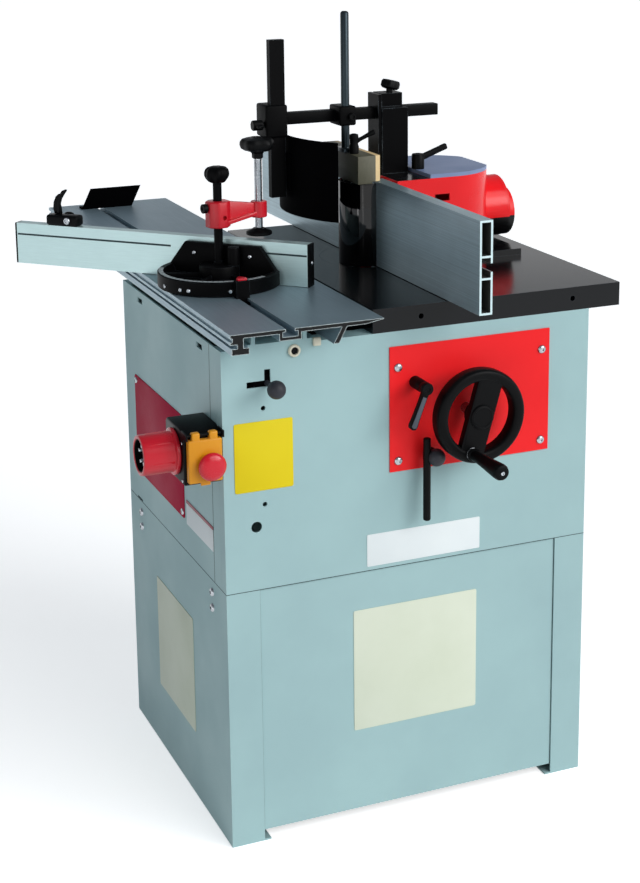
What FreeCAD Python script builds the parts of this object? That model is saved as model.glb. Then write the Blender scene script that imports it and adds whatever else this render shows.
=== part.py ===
import FreeCAD, Part
import math
import os
import re

import Sketcher

# Spindle moulder with sliding table, mitre gauge, fence hood and pressure device.
# Millimetres, +Z up, the operator stands at -Y in front of the handwheel.
# The origin is on the floor, in the middle of the four anchor holes.

sizes = {
    # cabinet
    "cabinet_width": 576, "cabinet_depth": 474, "base_height": 392, "sheet_wall": 2.5,
    "post_width": 50, "ledge_width": 30, "foot_width": 60, "toe_gap": 16, "corner_return": 20,
    "seam_gap": 0.6, "splice_width": 30, "rear_lap": 20, "anchor_radius": 6, "anchor_inset_x": 30,
    "anchor_inset_y": 47, "notch_width": 24, "notch_high": 8, "notch_drop": 10, "notch_inset": 80,
    "screw_radius": 3, "screw_head": 6.5, "screw_dome": 3.5, "screw_length": 9, "screw_inset": 62,
    "screw_drop": 19, "screw_step": 24, "run_fit": 0.05, "slide_fit": 0.3,
    # cast table
    "table_height": 780, "table_width": 402, "table_depth": 611, "table_thick": 35,
    "table_overhang": 52, "ring_radius": 100, "ring_ledge": 14, "ring_bore": 48, "ring_thick": 10,
    "edge_hole_radius": 4, "edge_hole_deep": 20, "edge_hole_inset": 75, "edge_hole_pitch": 247,
    "edge_hole_drop": 17,
    # sliding table and its rail
    "slide_gap": 4, "slide_width": 224, "slide_length": 1000, "slide_reach": 47, "slide_plate": 6,
    "slide_deep": 28.5, "slot_offset": 86, "slot_mouth": 13, "slot_inner": 22, "slot_lip": 4,
    "slot_deep": 11, "boss_wall": 5, "leg_inset": 10, "leg_thick": 9, "leg_foot": 25,
    "leg_foot_thick": 9, "leg_foot_inset": 2, "brace_inset": 149, "brace_foot": 8, "brace_lean": 12,
    "lip_start": 196, "lip_edge": 1.5, "side_groove_top": 5, "side_groove_high": 5,
    "side_groove_deep": 3, "side_lip": 14, "rail_inset": 32, "rail_width": 110, "rail_plate": 5,
    "rail_web": 6, "rail_web_inset": 14, "glide_thick": 5, "stop_plate_back": 48,
    "stop_plate_inset": 50, "stop_plate_width": 94, "stop_plate_lean": 18, "stop_plate_high": 37,
    "stop_plate_thick": 3, "stop_plate_foot": 17,
    # mitre gauge, in its own frame about the pivot: x along the fence, y to the work side
    "gauge_y": 6, "gauge_angle": 45, "gauge_radius": 92, "gauge_lift": 0.8, "gauge_thick": 22,
    "gauge_hub": 30, "gauge_high": 31, "gauge_wall": 9, "gauge_wall_high": 58,
    "gauge_wall_half": 62, "gauge_wall_foot": 88, "pivot_radius": 8, "bar_tail": 80,
    "pointer_width": 20, "pointer_deep": 12, "pointer_high": 26, "fence_face": 37,
    "mitre_thick": 18, "mitre_high": 64, "mitre_wall": 2.5, "mitre_right": 135, "mitre_left": 361,
    "mitre_groove": 5, "mitre_groove_deep": 1.5, "mitre_groove_drop": 16, "cap_thick": 3,
    "stop_at": 307, "stop_width": 56, "stop_high": 17, "stop_side": 2, "finger_width": 20,
    "finger_thick": 5, "finger_drop": 45, "finger_pin": 4,
    # hold-down clamp on the gauge pivot, heights above the table
    "clamp_angle": 10, "clamp_reach": 70, "clamp_post_radius": 6.5, "clamp_post_rise": 153,
    "clamp_collar": 4, "mushroom_radius": 19, "mushroom_high": 24, "clamp_arm_rise": 86,
    "clamp_arm_high": 27, "clamp_arm_half": 12, "clamp_hub_radius": 18, "clamp_hub_high": 40,
    "clamp_tip_radius": 15, "clamp_screw_radius": 6, "clamp_screw_rise": 183,
    "clamp_handle_radius": 27, "clamp_handle_high": 31, "clamp_foot_radius": 19.5,
    "clamp_foot_high": 10, "clamp_foot_drop": 9, "clamp_ball": 9,
    # spindle and drive
    "spindle_in": 159, "spindle_y": 83, "spindle_radius": 15, "nose_high": 72, "thread_radius": 11,
    "thread_high": 20, "spindle_tail": 12, "tail_end": 12, "shoulder_radius": 24,
    "shoulder_high": 10, "neck_radius": 20, "carriage_drop": 45, "carriage_high": 140,
    "carriage_half": 80, "carriage_front": 50, "carriage_back": 45, "bearing_radius": 31,
    "bearing_width": 18, "seat_fit": 0.02, "column_radius": 12.5, "column_offset": 61,
    "column_tail": 76, "frame_plate": 12, "frame_bore": 35, "frame_half": 82, "frame_front": 55,
    "frame_back": 50, "motor_offset": 185, "motor_radius": 65, "motor_length": 190,
    "motor_plate": 10, "motor_plate_half": 48, "motor_foot": 78, "motor_bell": 15,
    "motor_shaft": 10, "motor_shaft_deep": 25, "pulley_radius": 40, "pulley_gap": 22,
    "pulley_high": 26, "belt_thick": 5, "belt_inset": 3,
    # height setting
    "shaft_side": 13, "shaft_drop": 126, "shaft_radius": 8, "shaft_gap": 1, "bush_radius": 16,
    "bush_length": 25, "pinion_radius": 20, "pinion_width": 20, "rack_thick": 10, "rack_width": 22,
    "rack_tail": 15, "wheel_standoff": 46, "wheel_radius": 61, "rim_radius": 9, "rim_deep": 17,
    "rim_edge": 4, "wheel_hub": 18, "wheel_hub_high": 30, "spoke_width": 39, "spoke_thick": 14,
    "crank_angle": 254, "crank_arm": 55, "crank_pin": 5, "crank_pin_top": 100, "grip_radius": 12,
    "grip_gap": 1, "grip_length": 88,
    # front controls, drops below the top of the cabinet
    "plate_side": 8, "plate_width": 258, "plate_drop": 22, "plate_high": 186, "plate_thick": 2,
    "plate_screw_inset": 13, "plate_screw_up": 16, "plate_screw_down": 31, "lock_side": 82,
    "lock_drop": 77, "lock_hub": 9, "lock_hub_high": 44, "lock_arm": 56, "lock_arm_width": 10,
    "lock_arm_thick": 10, "lock_arm_angle": 248, "lock_pin": 5, "lock_pin_deep": 22,
    "tension_side": 58, "tension_drop": 187, "tension_hub": 13, "tension_hub_high": 36,
    "tension_rod": 5.5, "tension_rod_off": 13, "tension_rod_up": 30,
    "tension_rod_down": 95, "bolt_inset": 67, "bolt_drop": 52, "bolt_stem": 4, "bolt_slot_gap": 0.5,
    "bolt_throw": 26, "bolt_rise": 20, "bolt_ball": 13, "bolt_ball_out": 35, "bolt_plate_half": 20,
    "bolt_plate_thick": 3, "small_hole_radius": 3.5, "small_hole_inset": 60, "small_hole_drop": 87,
    "small_hole_rise": 126, "large_hole_radius": 8, "large_hole_inset": 47, "large_hole_rise": 94,
    # switch
    "switch_deep": 55, "switch_inset": 4, "switch_long": 81, "switch_drop": 107, "switch_high": 78,
    "ear_thick": 2.6, "flap_thick": 11, "flap_gap": 1, "flap_side": 0.5, "flap_wall": 4,
    "flap_high": 70, "flap_pin": 2, "flap_over": 2.5, "stop_radius": 20, "stop_stem": 6,
    "stop_gap": 5.5, "stop_head": 11, "stop_out": 18, "stop_up": 22, "start_radius": 9,
    "start_deep": 12, "start_proud": 4, "start_play": 4, "start_out": 28, "start_up": 52,
    "inlet_flange": 33, "inlet_flange_high": 6, "inlet_radius": 28.5, "inlet_length": 52,
    "inlet_bore": 23, "inlet_floor": 12, "inlet_pin": 2.7, "inlet_pin_ring": 13,
    "inlet_pin_length": 34,
    # fences, hood and dust outlet, rises above the table
    "fence_in": 117, "fence_thick": 20, "fence_high": 133, "fence_lift": 1, "fence_wall": 3,
    "fence_mid": 28, "fence_slot": 12, "fence_length": 365, "infeed_gap": 52, "outfeed_gap": 65,
    "carrier_thick": 10, "carrier_strip": 22, "carrier_half": 140, "carrier_plate": 8,
    "carrier_rise": 125, "cutter_gap": 55, "carrier_length": 245, "carrier_tail": 90,
    "stud_head": 9, "stud_head_thick": 7, "stud_shank": 4, "stud_near": 80, "stud_far": 115,
    "hood_half": 90, "hood_wall": 4, "hood_rise": 135, "hood_straight": 99, "hood_flat": 78,
    "bridge_length": 55, "bridge_thick": 6, "lid_thick": 6, "lid_gap": 1, "lid_lever_in": 8,
    "lid_lever_side": 30, "lid_tab": 12, "lid_lever_hub": 10, "lid_lever_high": 24,
    "lid_lever_arm": 52, "lid_lever_width": 10, "lid_lever_thick": 9, "lid_lever_pin": 4,
    "lid_lever_deep": 14, "duct_radius": 50, "duct_rise": 63, "duct_side": 13, "duct_length": 122,
    "duct_wall": 4, "duct_root": 16, "duct_seat": 4, "window_in": 64, "window_width": 25,
    "window_rise": 98, "window_high": 11, "spigot_radius": 40, "spigot_wall": 3, "spigot_rise": 53.5,
    "spigot_length": 14, "collar_thick": 4, "guard_radius": 66, "guard_wall": 3, "guard_side": 28,
    "guard_drop": 4, "tongue_width": 40, "tongue_thick": 3, "tongue_lap": 14,
    # pressure device, heights from the hood's top and from the bar
    "post_half": 22, "post_wall": 3, "post_high": 81, "post_head": 44, "post_shoulder": 22,
    "bracket_half": 18, "bracket_front": 9, "rule_thick": 6, "rule_half": 20, "rule_lift": 10,
    "bar_half": 9, "bar_up": 14, "bar_fit": 0.2, "bar_back": 81, "knob_pin": 5, "knob_radius": 17,
    "knob_gap": 5, "knob_high": 22, "side_out": 25.5, "side_half_width": 12, "side_half_thick": 6,
    "side_gap": 6, "side_down": 117, "side_up": 123, "block_cheek": 8.5, "block_lip": 2.9,
    "block_edge": 4, "block_half_high": 25, "wing_pin": 4, "wing_hub": 8, "wing_gap": 3,
    "wing_hub_length": 16, "wing_span": 17, "wing_thick": 5, "wing_drop": 5, "shoe_radius": 177.5,
    "shoe_half": 111, "shoe_high": 120, "shoe_drop": 26, "shoe_thick": 3, "shoe_stand": 3.5,
    "shoe_lug_half": 18, "shoe_lug_up": 12, "shoe_lug_high": 55, "shoe_lug_sink": 2.5,
    "rod_out": 27.5, "rod_wall": 2, "rod_radius": 6.5, "rod_down": 49, "rod_up": 161,
    "rod_foot_thick": 6, "rod_foot_half": 10, "rod_foot_long": 35, "rod_clamp_half": 14,
    "rod_clamp_edge": 5, "rod_clamp_low": 14, "rod_clamp_high": 30, "wood_thick": 10,
    "wood_clear": 0.5, "wood_back": 90, "wood_bend": 88, "wood_front": 135, "wood_offset": 14,
    "wood_skew": 3,
}

# Places and lengths that follow from the sizes.
places = {
    "left": "-cabinet_width / 2", "right": "cabinet_width / 2", "front": "-cabinet_depth / 2",
    "back": "cabinet_depth / 2", "cabinet_top": "table_height - table_thick",
    "upper_high": "cabinet_top - base_height", "inner_width": "cabinet_width - 2 * sheet_wall",
    "inner_left": "left + sheet_wall", "seam": "front + corner_return + seam_gap",
    "flange_deep": "screw_inset + 4 * screw_head",
    "flange_high": "base_height - toe_gap - sheet_wall", "screw_bore": "screw_radius + 2 * run_fit",
    "table_right": "right + table_overhang", "table_left": "table_right - table_width",
    "spindle_x": "table_left + spindle_in", "fence_x": "table_left + fence_in",
    "side_x": "table_left - side_out", "shaft_x": "spindle_x - shaft_side",
    "plate_x": "shaft_x + plate_side", "lock_x": "shaft_x - lock_side",
    "tension_x": "shaft_x - tension_side", "slide_left": "table_left - slide_gap - slide_width",
    "slide_right": "slide_left + slide_width", "slide_front": "front - slide_reach",
    "slide_low": "table_height - slide_deep", "plate_low": "table_height - slide_plate",
    "slot_x": "slide_left + slot_offset", "slot_floor": "table_height - slot_deep",
    "slot_edge": "table_height - slot_lip", "mouth_half": "slot_mouth / 2",
    "inner_half": "slot_inner / 2", "boss_half": "inner_half + boss_wall",
    "boss_low": "slot_floor - boss_wall", "leg_low": "slide_low + leg_foot_thick",
    "leg_left": "slide_left + leg_inset", "foot_left": "slide_left + leg_foot_inset",
    "foot_right": "foot_left + leg_foot", "brace": "slide_left + brace_inset",
    "groove_left": "slide_left + side_groove_deep", "groove_high": "table_height - side_groove_top",
    "groove_low": "groove_high - side_groove_high", "rail_left": "slide_left + rail_inset",
    "rail_top": "cabinet_top + rail_plate", "web_top": "plate_low - glide_thick",
    "stop_left": "slide_left + stop_plate_inset",
    "stop_y": "slide_front + slide_length - stop_plate_back",
    "stop_lean": "stop_left + stop_plate_lean", "stop_top": "table_height + stop_plate_high",
    "bar_front": "-gauge_radius - slide_fit - pointer_deep", "bar_long": "bar_tail - bar_front",
    "fence_back": "fence_face - mitre_thick", "disc_top": "gauge_lift + gauge_thick",
    "mitre_top": "gauge_lift + mitre_high", "mitre_groove_top": "mitre_top - mitre_groove_drop",
    "mitre_groove_low": "mitre_groove_top - mitre_groove",
    "mitre_floor": "fence_face - mitre_groove_deep", "block_deep": "mitre_thick + 2 * stop_side",
    "stop_face": "fence_face + stop_side", "finger_x": "stop_width / 2 - stop_at",
    "finger_z": "mitre_top + stop_high / 2", "clamp_base": "table_height + gauge_high",
    "clamp_top": "table_height + clamp_post_rise", "mushroom_top": "clamp_top + mushroom_high",
    "arm_low": "table_height + clamp_arm_rise", "foot_top": "arm_low - clamp_foot_drop",
    "foot_low": "foot_top - clamp_foot_high", "handle_low": "table_height + clamp_screw_rise",
    "handle_top": "handle_low + clamp_handle_high", "frame_low": "cabinet_top - frame_plate",
    "carriage_top": "cabinet_top - carriage_drop", "carriage_base": "carriage_top - carriage_high",
    "column_foot": "carriage_base - column_tail", "motor_top": "carriage_top - motor_plate",
    "motor_base": "motor_top - motor_length", "pulley_top": "motor_base - pulley_gap",
    "pulley_base": "pulley_top - pulley_high", "spindle_foot": "pulley_base - tail_end",
    "tail_top": "motor_base", "shoulder": "table_height - shoulder_high",
    "nose_top": "table_height + nose_high", "thread_top": "nose_top + thread_high",
    "belt_in": "pulley_radius + slide_fit", "belt_out": "belt_in + belt_thick",
    "belt_low": "pulley_base + belt_inset", "belt_high": "pulley_high - 2 * belt_inset",
    "shaft_z": "cabinet_top - shaft_drop",
    "rack_x": "shaft_x - spindle_x + pinion_radius + slide_fit",
    "shaft_in": "front - spindle_y + carriage_front + shaft_gap",
    "rim_in": "wheel_radius - rim_radius", "rim_out": "wheel_radius + rim_radius",
    "wheel_back": "wheel_standoff - wheel_hub_high / 2", "plate_left": "plate_x - plate_width / 2",
    "plate_base": "cabinet_top - plate_drop - plate_high", "plate_front": "front - plate_thick",
    "lock_z": "cabinet_top - lock_drop", "tension_z": "cabinet_top - tension_drop",
    "bolt_x": "left + bolt_inset", "bolt_z": "cabinet_top - bolt_drop",
    "bolt_gap": "bolt_stem + bolt_slot_gap", "ball_low": "bolt_ball_out - bolt_ball",
    "switch_left": "left - switch_deep", "switch_y": "front + switch_inset",
    "switch_top": "cabinet_top - switch_drop", "switch_base": "switch_top - switch_high",
    "flap_back": "switch_y - flap_gap", "flap_front": "flap_back - flap_thick",
    "flap_top": "switch_top - flap_over", "flap_low": "flap_top - flap_high",
    "axis_y": "flap_back - flap_thick / 2", "axis_z": "flap_top - flap_over",
    "flap_left": "switch_left + ear_thick + flap_side",
    "flap_width": "switch_deep - 2 * ear_thick - 2 * flap_side",
    "ear_reach": "flap_gap + flap_thick / 2 + 3 * flap_pin", "ear_low": "axis_z - 3 * flap_pin",
    "stop_x": "left - stop_out", "stop_z": "switch_base + stop_up", "start_x": "left - start_out",
    "start_z": "switch_base + start_up", "chamber": "(fence_high - 4 * fence_wall - fence_mid) / 2",
    "mid_low": "fence_lift + 2 * fence_wall + chamber", "mid_high": "mid_low + fence_mid",
    "stud_z": "mid_low + fence_mid / 2", "groove_base": "stud_z - fence_slot / 2",
    "groove_top": "stud_z + fence_slot / 2", "fence_inner": "fence_thick - fence_wall",
    "fence_top": "fence_lift + fence_high", "strip_long": "carrier_half - cutter_gap",
    "stud_x": "fence_inner - slide_fit - stud_head_thick", "hood_x": "fence_thick + carrier_plate",
    "hood_mid": "hood_x + hood_straight", "hood_end": "hood_mid + hood_flat",
    "end_chord": "sqrt(hood_half ^ 2 - hood_flat ^ 2)", "duct_start": "hood_end + duct_seat",
    "duct_bore": "duct_radius - duct_wall", "hood_base": "table_height + carrier_thick",
    "hood_top": "table_height + hood_rise", "hood_high": "hood_top - hood_base",
    "hood_inner": "hood_half - hood_wall", "bridge_low": "hood_top - bridge_thick",
    "bridge_end": "hood_x + bridge_length", "lid_start": "bridge_end + lid_gap",
    "lever_x": "bridge_end + lid_lever_in", "duct_z": "table_height + duct_rise",
    "duct_end": "hood_mid + duct_length", "spigot_z": "table_height + spigot_rise",
    "spigot_bore": "spigot_radius - spigot_wall", "guard_base": "table_height + fence_lift",
    "guard_high": "hood_top - guard_drop - guard_base",
    "guard_mid": "guard_radius - guard_wall / 2", "post_top": "hood_top + post_high",
    "head_top": "post_top + post_head", "bar_z": "post_top + bar_up",
    "bar_hole": "bar_half + bar_fit", "knob_low": "head_top + knob_gap",
    "post_x": "fence_x + hood_x + bridge_length / 2",
    "side_y": "spindle_y - bar_half - side_half_thick - side_gap",
    "block_left": "side_x - side_half_width - block_cheek",
    "block_right": "side_x + side_half_width + block_lip",
    "block_front": "side_y - side_half_thick - block_edge",
    "block_back": "spindle_y + bar_half + block_edge", "block_low": "bar_z - block_half_high",
    "bar_left": "block_left + block_cheek", "bar_right": "post_x + bar_back",
    "cheek": "block_cheek - bar_fit", "wing_z": "bar_z - wing_drop",
    "side_low": "bar_z - side_down",
    "shoe_x": "side_x + side_half_width + shoe_stand + shoe_radius",
    "shoe_low": "side_low - shoe_drop", "shoe_chord": "sqrt(shoe_radius ^ 2 - shoe_half ^ 2)",
    "rod_x": "fence_x - rod_out", "rod_y": "spindle_y - bar_half - rod_radius - rod_wall",
    "rod_low": "bar_z - rod_down", "rod_top": "bar_z + rod_up",
    "clamp_front": "rod_y - rod_radius - rod_clamp_edge",
    "clamp_back": "spindle_y + bar_half + rod_clamp_edge", "wood_top": "rod_low - rod_foot_thick",
    "wood_low": "hood_top - guard_drop + wood_clear", "wood_left": "rod_x - wood_thick / 2",
    "wood_right": "rod_x + wood_thick / 2",
}

doc = FreeCAD.newDocument("spindle_moulder")
sheet = doc.addObject("Spreadsheet::Sheet", "Sizes")
for row, (alias, value) in enumerate(sizes.items(), start=1):
    sheet.set("A%d" % row, alias)
    sheet.set("B%d" % row, str(value))
    sheet.setAlias("B%d" % row, alias)
doc.recompute()

word = re.compile(r"[a-z][a-z_]*")
nodes = {}


def spelled(match):
    name = match.group()
    if name in sizes:
        return "Sizes." + name
    if name in places:
        return "(%s)" % expr(places[name])
    return name


def expr(text):
    return word.sub(spelled, text)


def bind(thing, prop, text):
    thing.setExpression(prop, expr(text))


def turned_by(axis, angle):
    return FreeCAD.Rotation(FreeCAD.Vector(*axis), angle)


# Where local +Z of a piece points on the machine.
upward = turned_by((0, 0, 1), 0)
to_operator = turned_by((1, 0, 0), 90)
to_left = turned_by((0, 1, 0), -90)
to_right = turned_by((0, 1, 0), 90)


class Piece:
    """One body, padded, cut and turned from sketches in its own frame."""

    def __init__(self, label, at=("0", "0", "0"), facing=upward, spin=0):
        self.label = label
        self.count = 0
        self.body = doc.addObject("PartDesign::Body", label)
        self.body.Label = label
        self.body.Placement.Rotation = facing.multiply(turned_by((0, 0, 1), spin))
        for letter, text in zip("xyz", at):
            bind(self.body, "Placement.Base." + letter, text)
        nodes[label] = self.body

    def feature(self, kind):
        self.count += 1
        return self.body.newObject(kind, "%s_%d" % (self.label, self.count))

    def sketch(self, plane, start, loops):
        sketch = self.feature("Sketcher::SketchObject")
        support = next(f for f in self.body.Origin.OriginFeatures if f.Role == plane + "_Plane")
        sketch.AttachmentSupport = [(support, "")]
        sketch.MapMode = "FlatFace"
        bind(sketch, "AttachmentOffset.Base.z", "-(%s)" % start if plane == "XZ" else start)
        rules = []
        texts = []
        base = 0
        for loop in loops:
            if isinstance(loop, dict):
                sketch.addGeometry(Part.Circle(FreeCAD.Vector(1, 1, 0), FreeCAD.Vector(0, 0, 1), 1))
                rules.append(Sketcher.Constraint("Radius", base, 1.0))
                texts.append(loop["radius"])
                spots = [(base, 3, loop["at"])]
                base += 1
            else:
                total = len(loop)
                turns = [math.tau * k / total for k in range(total)]
                ring = [FreeCAD.Vector(math.cos(turn), math.sin(turn), 0) for turn in turns]
                for k in range(total):
                    sketch.addGeometry(Part.LineSegment(ring[k], ring[(k + 1) % total]))
                for k in range(total):
                    following = base + (k + 1) % total
                    rules.append(Sketcher.Constraint("Coincident", base + k, 2, following, 1))
                    texts.append(None)
                spots = [(base + k, 1, point) for k, point in enumerate(loop)]
                base += total
            for edge, end, (u, v) in spots:
                rules.append(Sketcher.Constraint("DistanceX", -1, 1, edge, end, 1.0))
                rules.append(Sketcher.Constraint("DistanceY", -1, 1, edge, end, 1.0))
                texts.extend((u, v))
        sketch.addConstraint(rules)
        for index, text in enumerate(texts):
            if text is not None:
                bind(sketch, "Constraints[%d]" % index, text)
        return sketch

    def pad(self, plane, start, length, *loops):
        profile = self.sketch(plane, start, loops)
        pad = self.feature("PartDesign::Pad")
        pad.Profile = profile
        pad.Reversed = plane == "XZ"
        bind(pad, "Length", length)
        return self

    def cut(self, plane, start, length, *loops):
        profile = self.sketch(plane, start, loops)
        pocket = self.feature("PartDesign::Pocket")
        pocket.Profile = profile
        pocket.Reversed = plane != "XZ"
        bind(pocket, "Length", length)
        return self

    def turn(self, *loops):
        profile = self.sketch("XZ", "0", loops)
        turn = self.feature("PartDesign::Revolution")
        turn.Profile = profile
        turn.ReferenceAxis = (profile, ["V_Axis"])
        turn.Angle = 360
        return self


def rect(x, y, width, height):
    x_end = "%s + (%s)" % (x, width)
    y_end = "%s + (%s)" % (y, height)
    return [(x, y), (x_end, y), (x_end, y_end), (x, y_end)]


def middle(x, y, half_x, half_y):
    return rect("%s - (%s)" % (x, half_x), "%s - (%s)" % (y, half_y),
                "2 * (%s)" % half_x, "2 * (%s)" % half_y)


def circle(x, y, radius):
    return {"at": (x, y), "radius": radius}


screw_rows = ["base_height - screw_drop", "base_height - screw_drop - screw_step"]
screw_front = "front + screw_inset"
screw_back = "back - screw_inset"
side_screws = [(y, z) for y in (screw_front, screw_back) for z in screw_rows]
plate_rows = ["plate_base + plate_screw_up", "plate_base + plate_high - plate_screw_down"]
plate_screws = [("plate_x + %d * (plate_width / 2 - plate_screw_inset)" % side, z)
                for side in (-1, 1) for z in plate_rows]


def base_side(label, sign):
    """Side wall of the base with its corner posts, floor flange and top ledge."""
    def edge(width):
        return "left" if sign < 0 else "right - " + width

    side = Piece(label)
    side.pad("XY", "0", "base_height",
             rect(edge("sheet_wall"), "front", "sheet_wall", "cabinet_depth"))
    for y in ("front", "back - sheet_wall"):
        side.pad("XY", "0", "base_height", rect(edge("post_width"), y, "post_width", "sheet_wall"))
    side.pad("XY", "0", "sheet_wall", rect(edge("foot_width"), "front", "foot_width", "cabinet_depth"))
    side.pad("XY", "base_height - sheet_wall", "sheet_wall",
             rect(edge("ledge_width"), "front + 2 * sheet_wall",
                  "ledge_width", "cabinet_depth - 4 * sheet_wall"))
    anchors = [circle("%d * (right - anchor_inset_x)" % sign, y, "anchor_radius")
               for y in ("front + anchor_inset_y", "back - anchor_inset_y")]
    side.cut("XY", "0", "sheet_wall", *anchors)
    side.cut("YZ", edge("sheet_wall"), "sheet_wall",
             *[circle(y, z, "screw_bore") for y, z in side_screws])


base_side("base_left_panel", -1)
base_side("base_right_panel", 1)
flange_walls = ("inner_left", "right - 2 * sheet_wall")

base_front = Piece("base_front_panel")
base_front.pad("XZ", "front + sheet_wall", "sheet_wall",
               rect("inner_left", "toe_gap", "inner_width", "base_height - toe_gap"))
for x in flange_walls:
    base_front.pad("XY", "toe_gap", "flange_high",
                   rect(x, "front + sheet_wall", "sheet_wall", "flange_deep"))
    base_front.cut("YZ", x, "sheet_wall",
                   *[circle(screw_front, z, "screw_bore") for z in screw_rows])


def upper_side(panel, x_wall, x_splice, x_ledge):
    """Side wall of the upper cabinet with its splice behind the front panel and its lower ledge."""
    panel.pad("XY", "base_height", "upper_high",
              rect(x_wall, "seam", "sheet_wall", "back - sheet_wall - seam"))
    panel.pad("XY", "base_height + sheet_wall", "upper_high - 2 * sheet_wall",
              rect(x_splice, "front + sheet_wall", "sheet_wall", "corner_return + splice_width"))
    panel.pad("XY", "base_height", "sheet_wall",
              rect(x_ledge, "seam", "ledge_width", "back - 2 * sheet_wall - seam"))


upper_left = Piece("upper_left_panel")
upper_side(upper_left, "left", "inner_left", "left")
for y in ("front + notch_inset", "back - notch_inset - notch_width"):
    upper_left.cut("YZ", "left", "sheet_wall",
                   rect(y, "cabinet_top - notch_drop - notch_high", "notch_width", "notch_high"))

rear = Piece("rear_cover")
rear.pad("XZ", "back - sheet_wall", "sheet_wall",
         rect("left", "base_height", "cabinet_width", "upper_high"))
upper_side(rear, "right - sheet_wall", "right - 2 * sheet_wall", "right - ledge_width")
rear.pad("XZ", "back - 2 * sheet_wall", "sheet_wall",
         rect("inner_left", "toe_gap", "inner_width", "base_height + rear_lap - toe_gap"))
rear.pad("XY", "cabinet_top - sheet_wall", "sheet_wall",
         rect("inner_left", "back - sheet_wall - ledge_width", "inner_width", "ledge_width"))
for x in flange_walls:
    rear.pad("XY", "toe_gap", "flange_high",
             rect(x, "back - flange_deep", "sheet_wall", "flange_deep - sheet_wall"))
    rear.cut("YZ", x, "sheet_wall",
             *[circle(screw_back, z, "screw_bore") for z in screw_rows])

# Upper front panel: wraps round both corners and carries the bush of the handwheel shaft.
panel = Piece("upper_front_panel")
panel.pad("XZ", "front", "sheet_wall", rect("left", "base_height", "cabinet_width", "upper_high"))
for x in ("left", "right - sheet_wall"):
    panel.pad("XY", "base_height", "upper_high", rect(x, "front", "sheet_wall", "corner_return"))
panel.pad("XY", "cabinet_top - sheet_wall", "sheet_wall",
          rect("inner_left", "front + sheet_wall", "inner_width", "ledge_width"))
panel.pad("XZ", "front + sheet_wall", "bush_length", circle("shaft_x", "shaft_z", "bush_radius"))
panel.cut("XZ", "front", "sheet_wall + bush_length",
          circle("shaft_x", "shaft_z", "shaft_radius + run_fit"))
panel.cut("XZ", "front", "sheet_wall",
          rect("bolt_x - bolt_throw - bolt_gap", "bolt_z - bolt_gap",
               "bolt_throw + 2 * bolt_gap", "2 * bolt_gap"))
panel.cut("XZ", "front", "sheet_wall",
          rect("bolt_x - bolt_gap", "bolt_z - bolt_gap", "2 * bolt_gap", "bolt_rise + bolt_gap"))
panel.cut("XZ", "front", "sheet_wall",
          circle("left + small_hole_inset", "cabinet_top - small_hole_drop", "small_hole_radius"),
          circle("left + small_hole_inset", "base_height + small_hole_rise", "small_hole_radius"),
          circle("left + large_hole_inset", "base_height + large_hole_rise", "large_hole_radius"))
control_holes = [circle("lock_x", "lock_z", "lock_pin + run_fit"),
                 circle("tension_x", "tension_z", "lock_pin + run_fit")]
control_holes += [circle(x, z, "screw_bore") for x, z in plate_screws]
panel.cut("XZ", "front", "sheet_wall", *control_holes)

Piece("control_plate").pad("XZ", "plate_front", "plate_thick",
                           rect("plate_left", "plate_base", "plate_width", "plate_high"),
                           circle("shaft_x", "shaft_z", "shaft_radius + slide_fit"), *control_holes)

# Dome screws of the base and of the control plate, each a head on a plain shank.
dome = [("0", "-screw_length"), ("screw_radius", "-screw_length"), ("screw_radius", "0"),
        ("screw_head", "0"), ("screw_head * 0.7", "screw_dome * 0.8"), ("0", "screw_dome")]
screw_spots = [(("left", y, z), to_left) for y, z in side_screws]
screw_spots += [(("right", y, z), to_right) for y, z in side_screws]
screw_spots += [((x, "plate_front", z), to_operator) for x, z in plate_screws]
screws = []
for number, (spot, facing) in enumerate(screw_spots, start=1):
    label = "dome_screw_%d" % number
    screws.append(Piece(label, spot, facing).turn(dome).body)
    del nodes[label]
panel_screws = doc.addObject("Part::Compound", "panel_screws")
panel_screws.Links = screws
nodes["panel_screws"] = panel_screws

# Cast table with the seat of its ring, and the ring itself.
table = Piece("main_table")
table.pad("XY", "cabinet_top", "table_thick",
          rect("table_left", "front", "table_width", "table_depth"))
table.cut("XY", "cabinet_top", "table_thick",
          circle("spindle_x", "spindle_y", "ring_radius - ring_ledge"))
table.cut("XY", "table_height - ring_thick", "ring_thick",
          circle("spindle_x", "spindle_y", "ring_radius"))
edge_holes = [circle("table_left + edge_hole_inset + %d * edge_hole_pitch" % k,
                     "table_height - edge_hole_drop", "edge_hole_radius") for k in (0, 1)]
table.cut("XZ", "front", "edge_hole_deep", *edge_holes)
Piece("table_ring").pad("XY", "table_height - ring_thick", "ring_thick",
                        circle("spindle_x", "spindle_y", "ring_radius - slide_fit"),
                        circle("spindle_x", "spindle_y", "ring_bore"))

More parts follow.
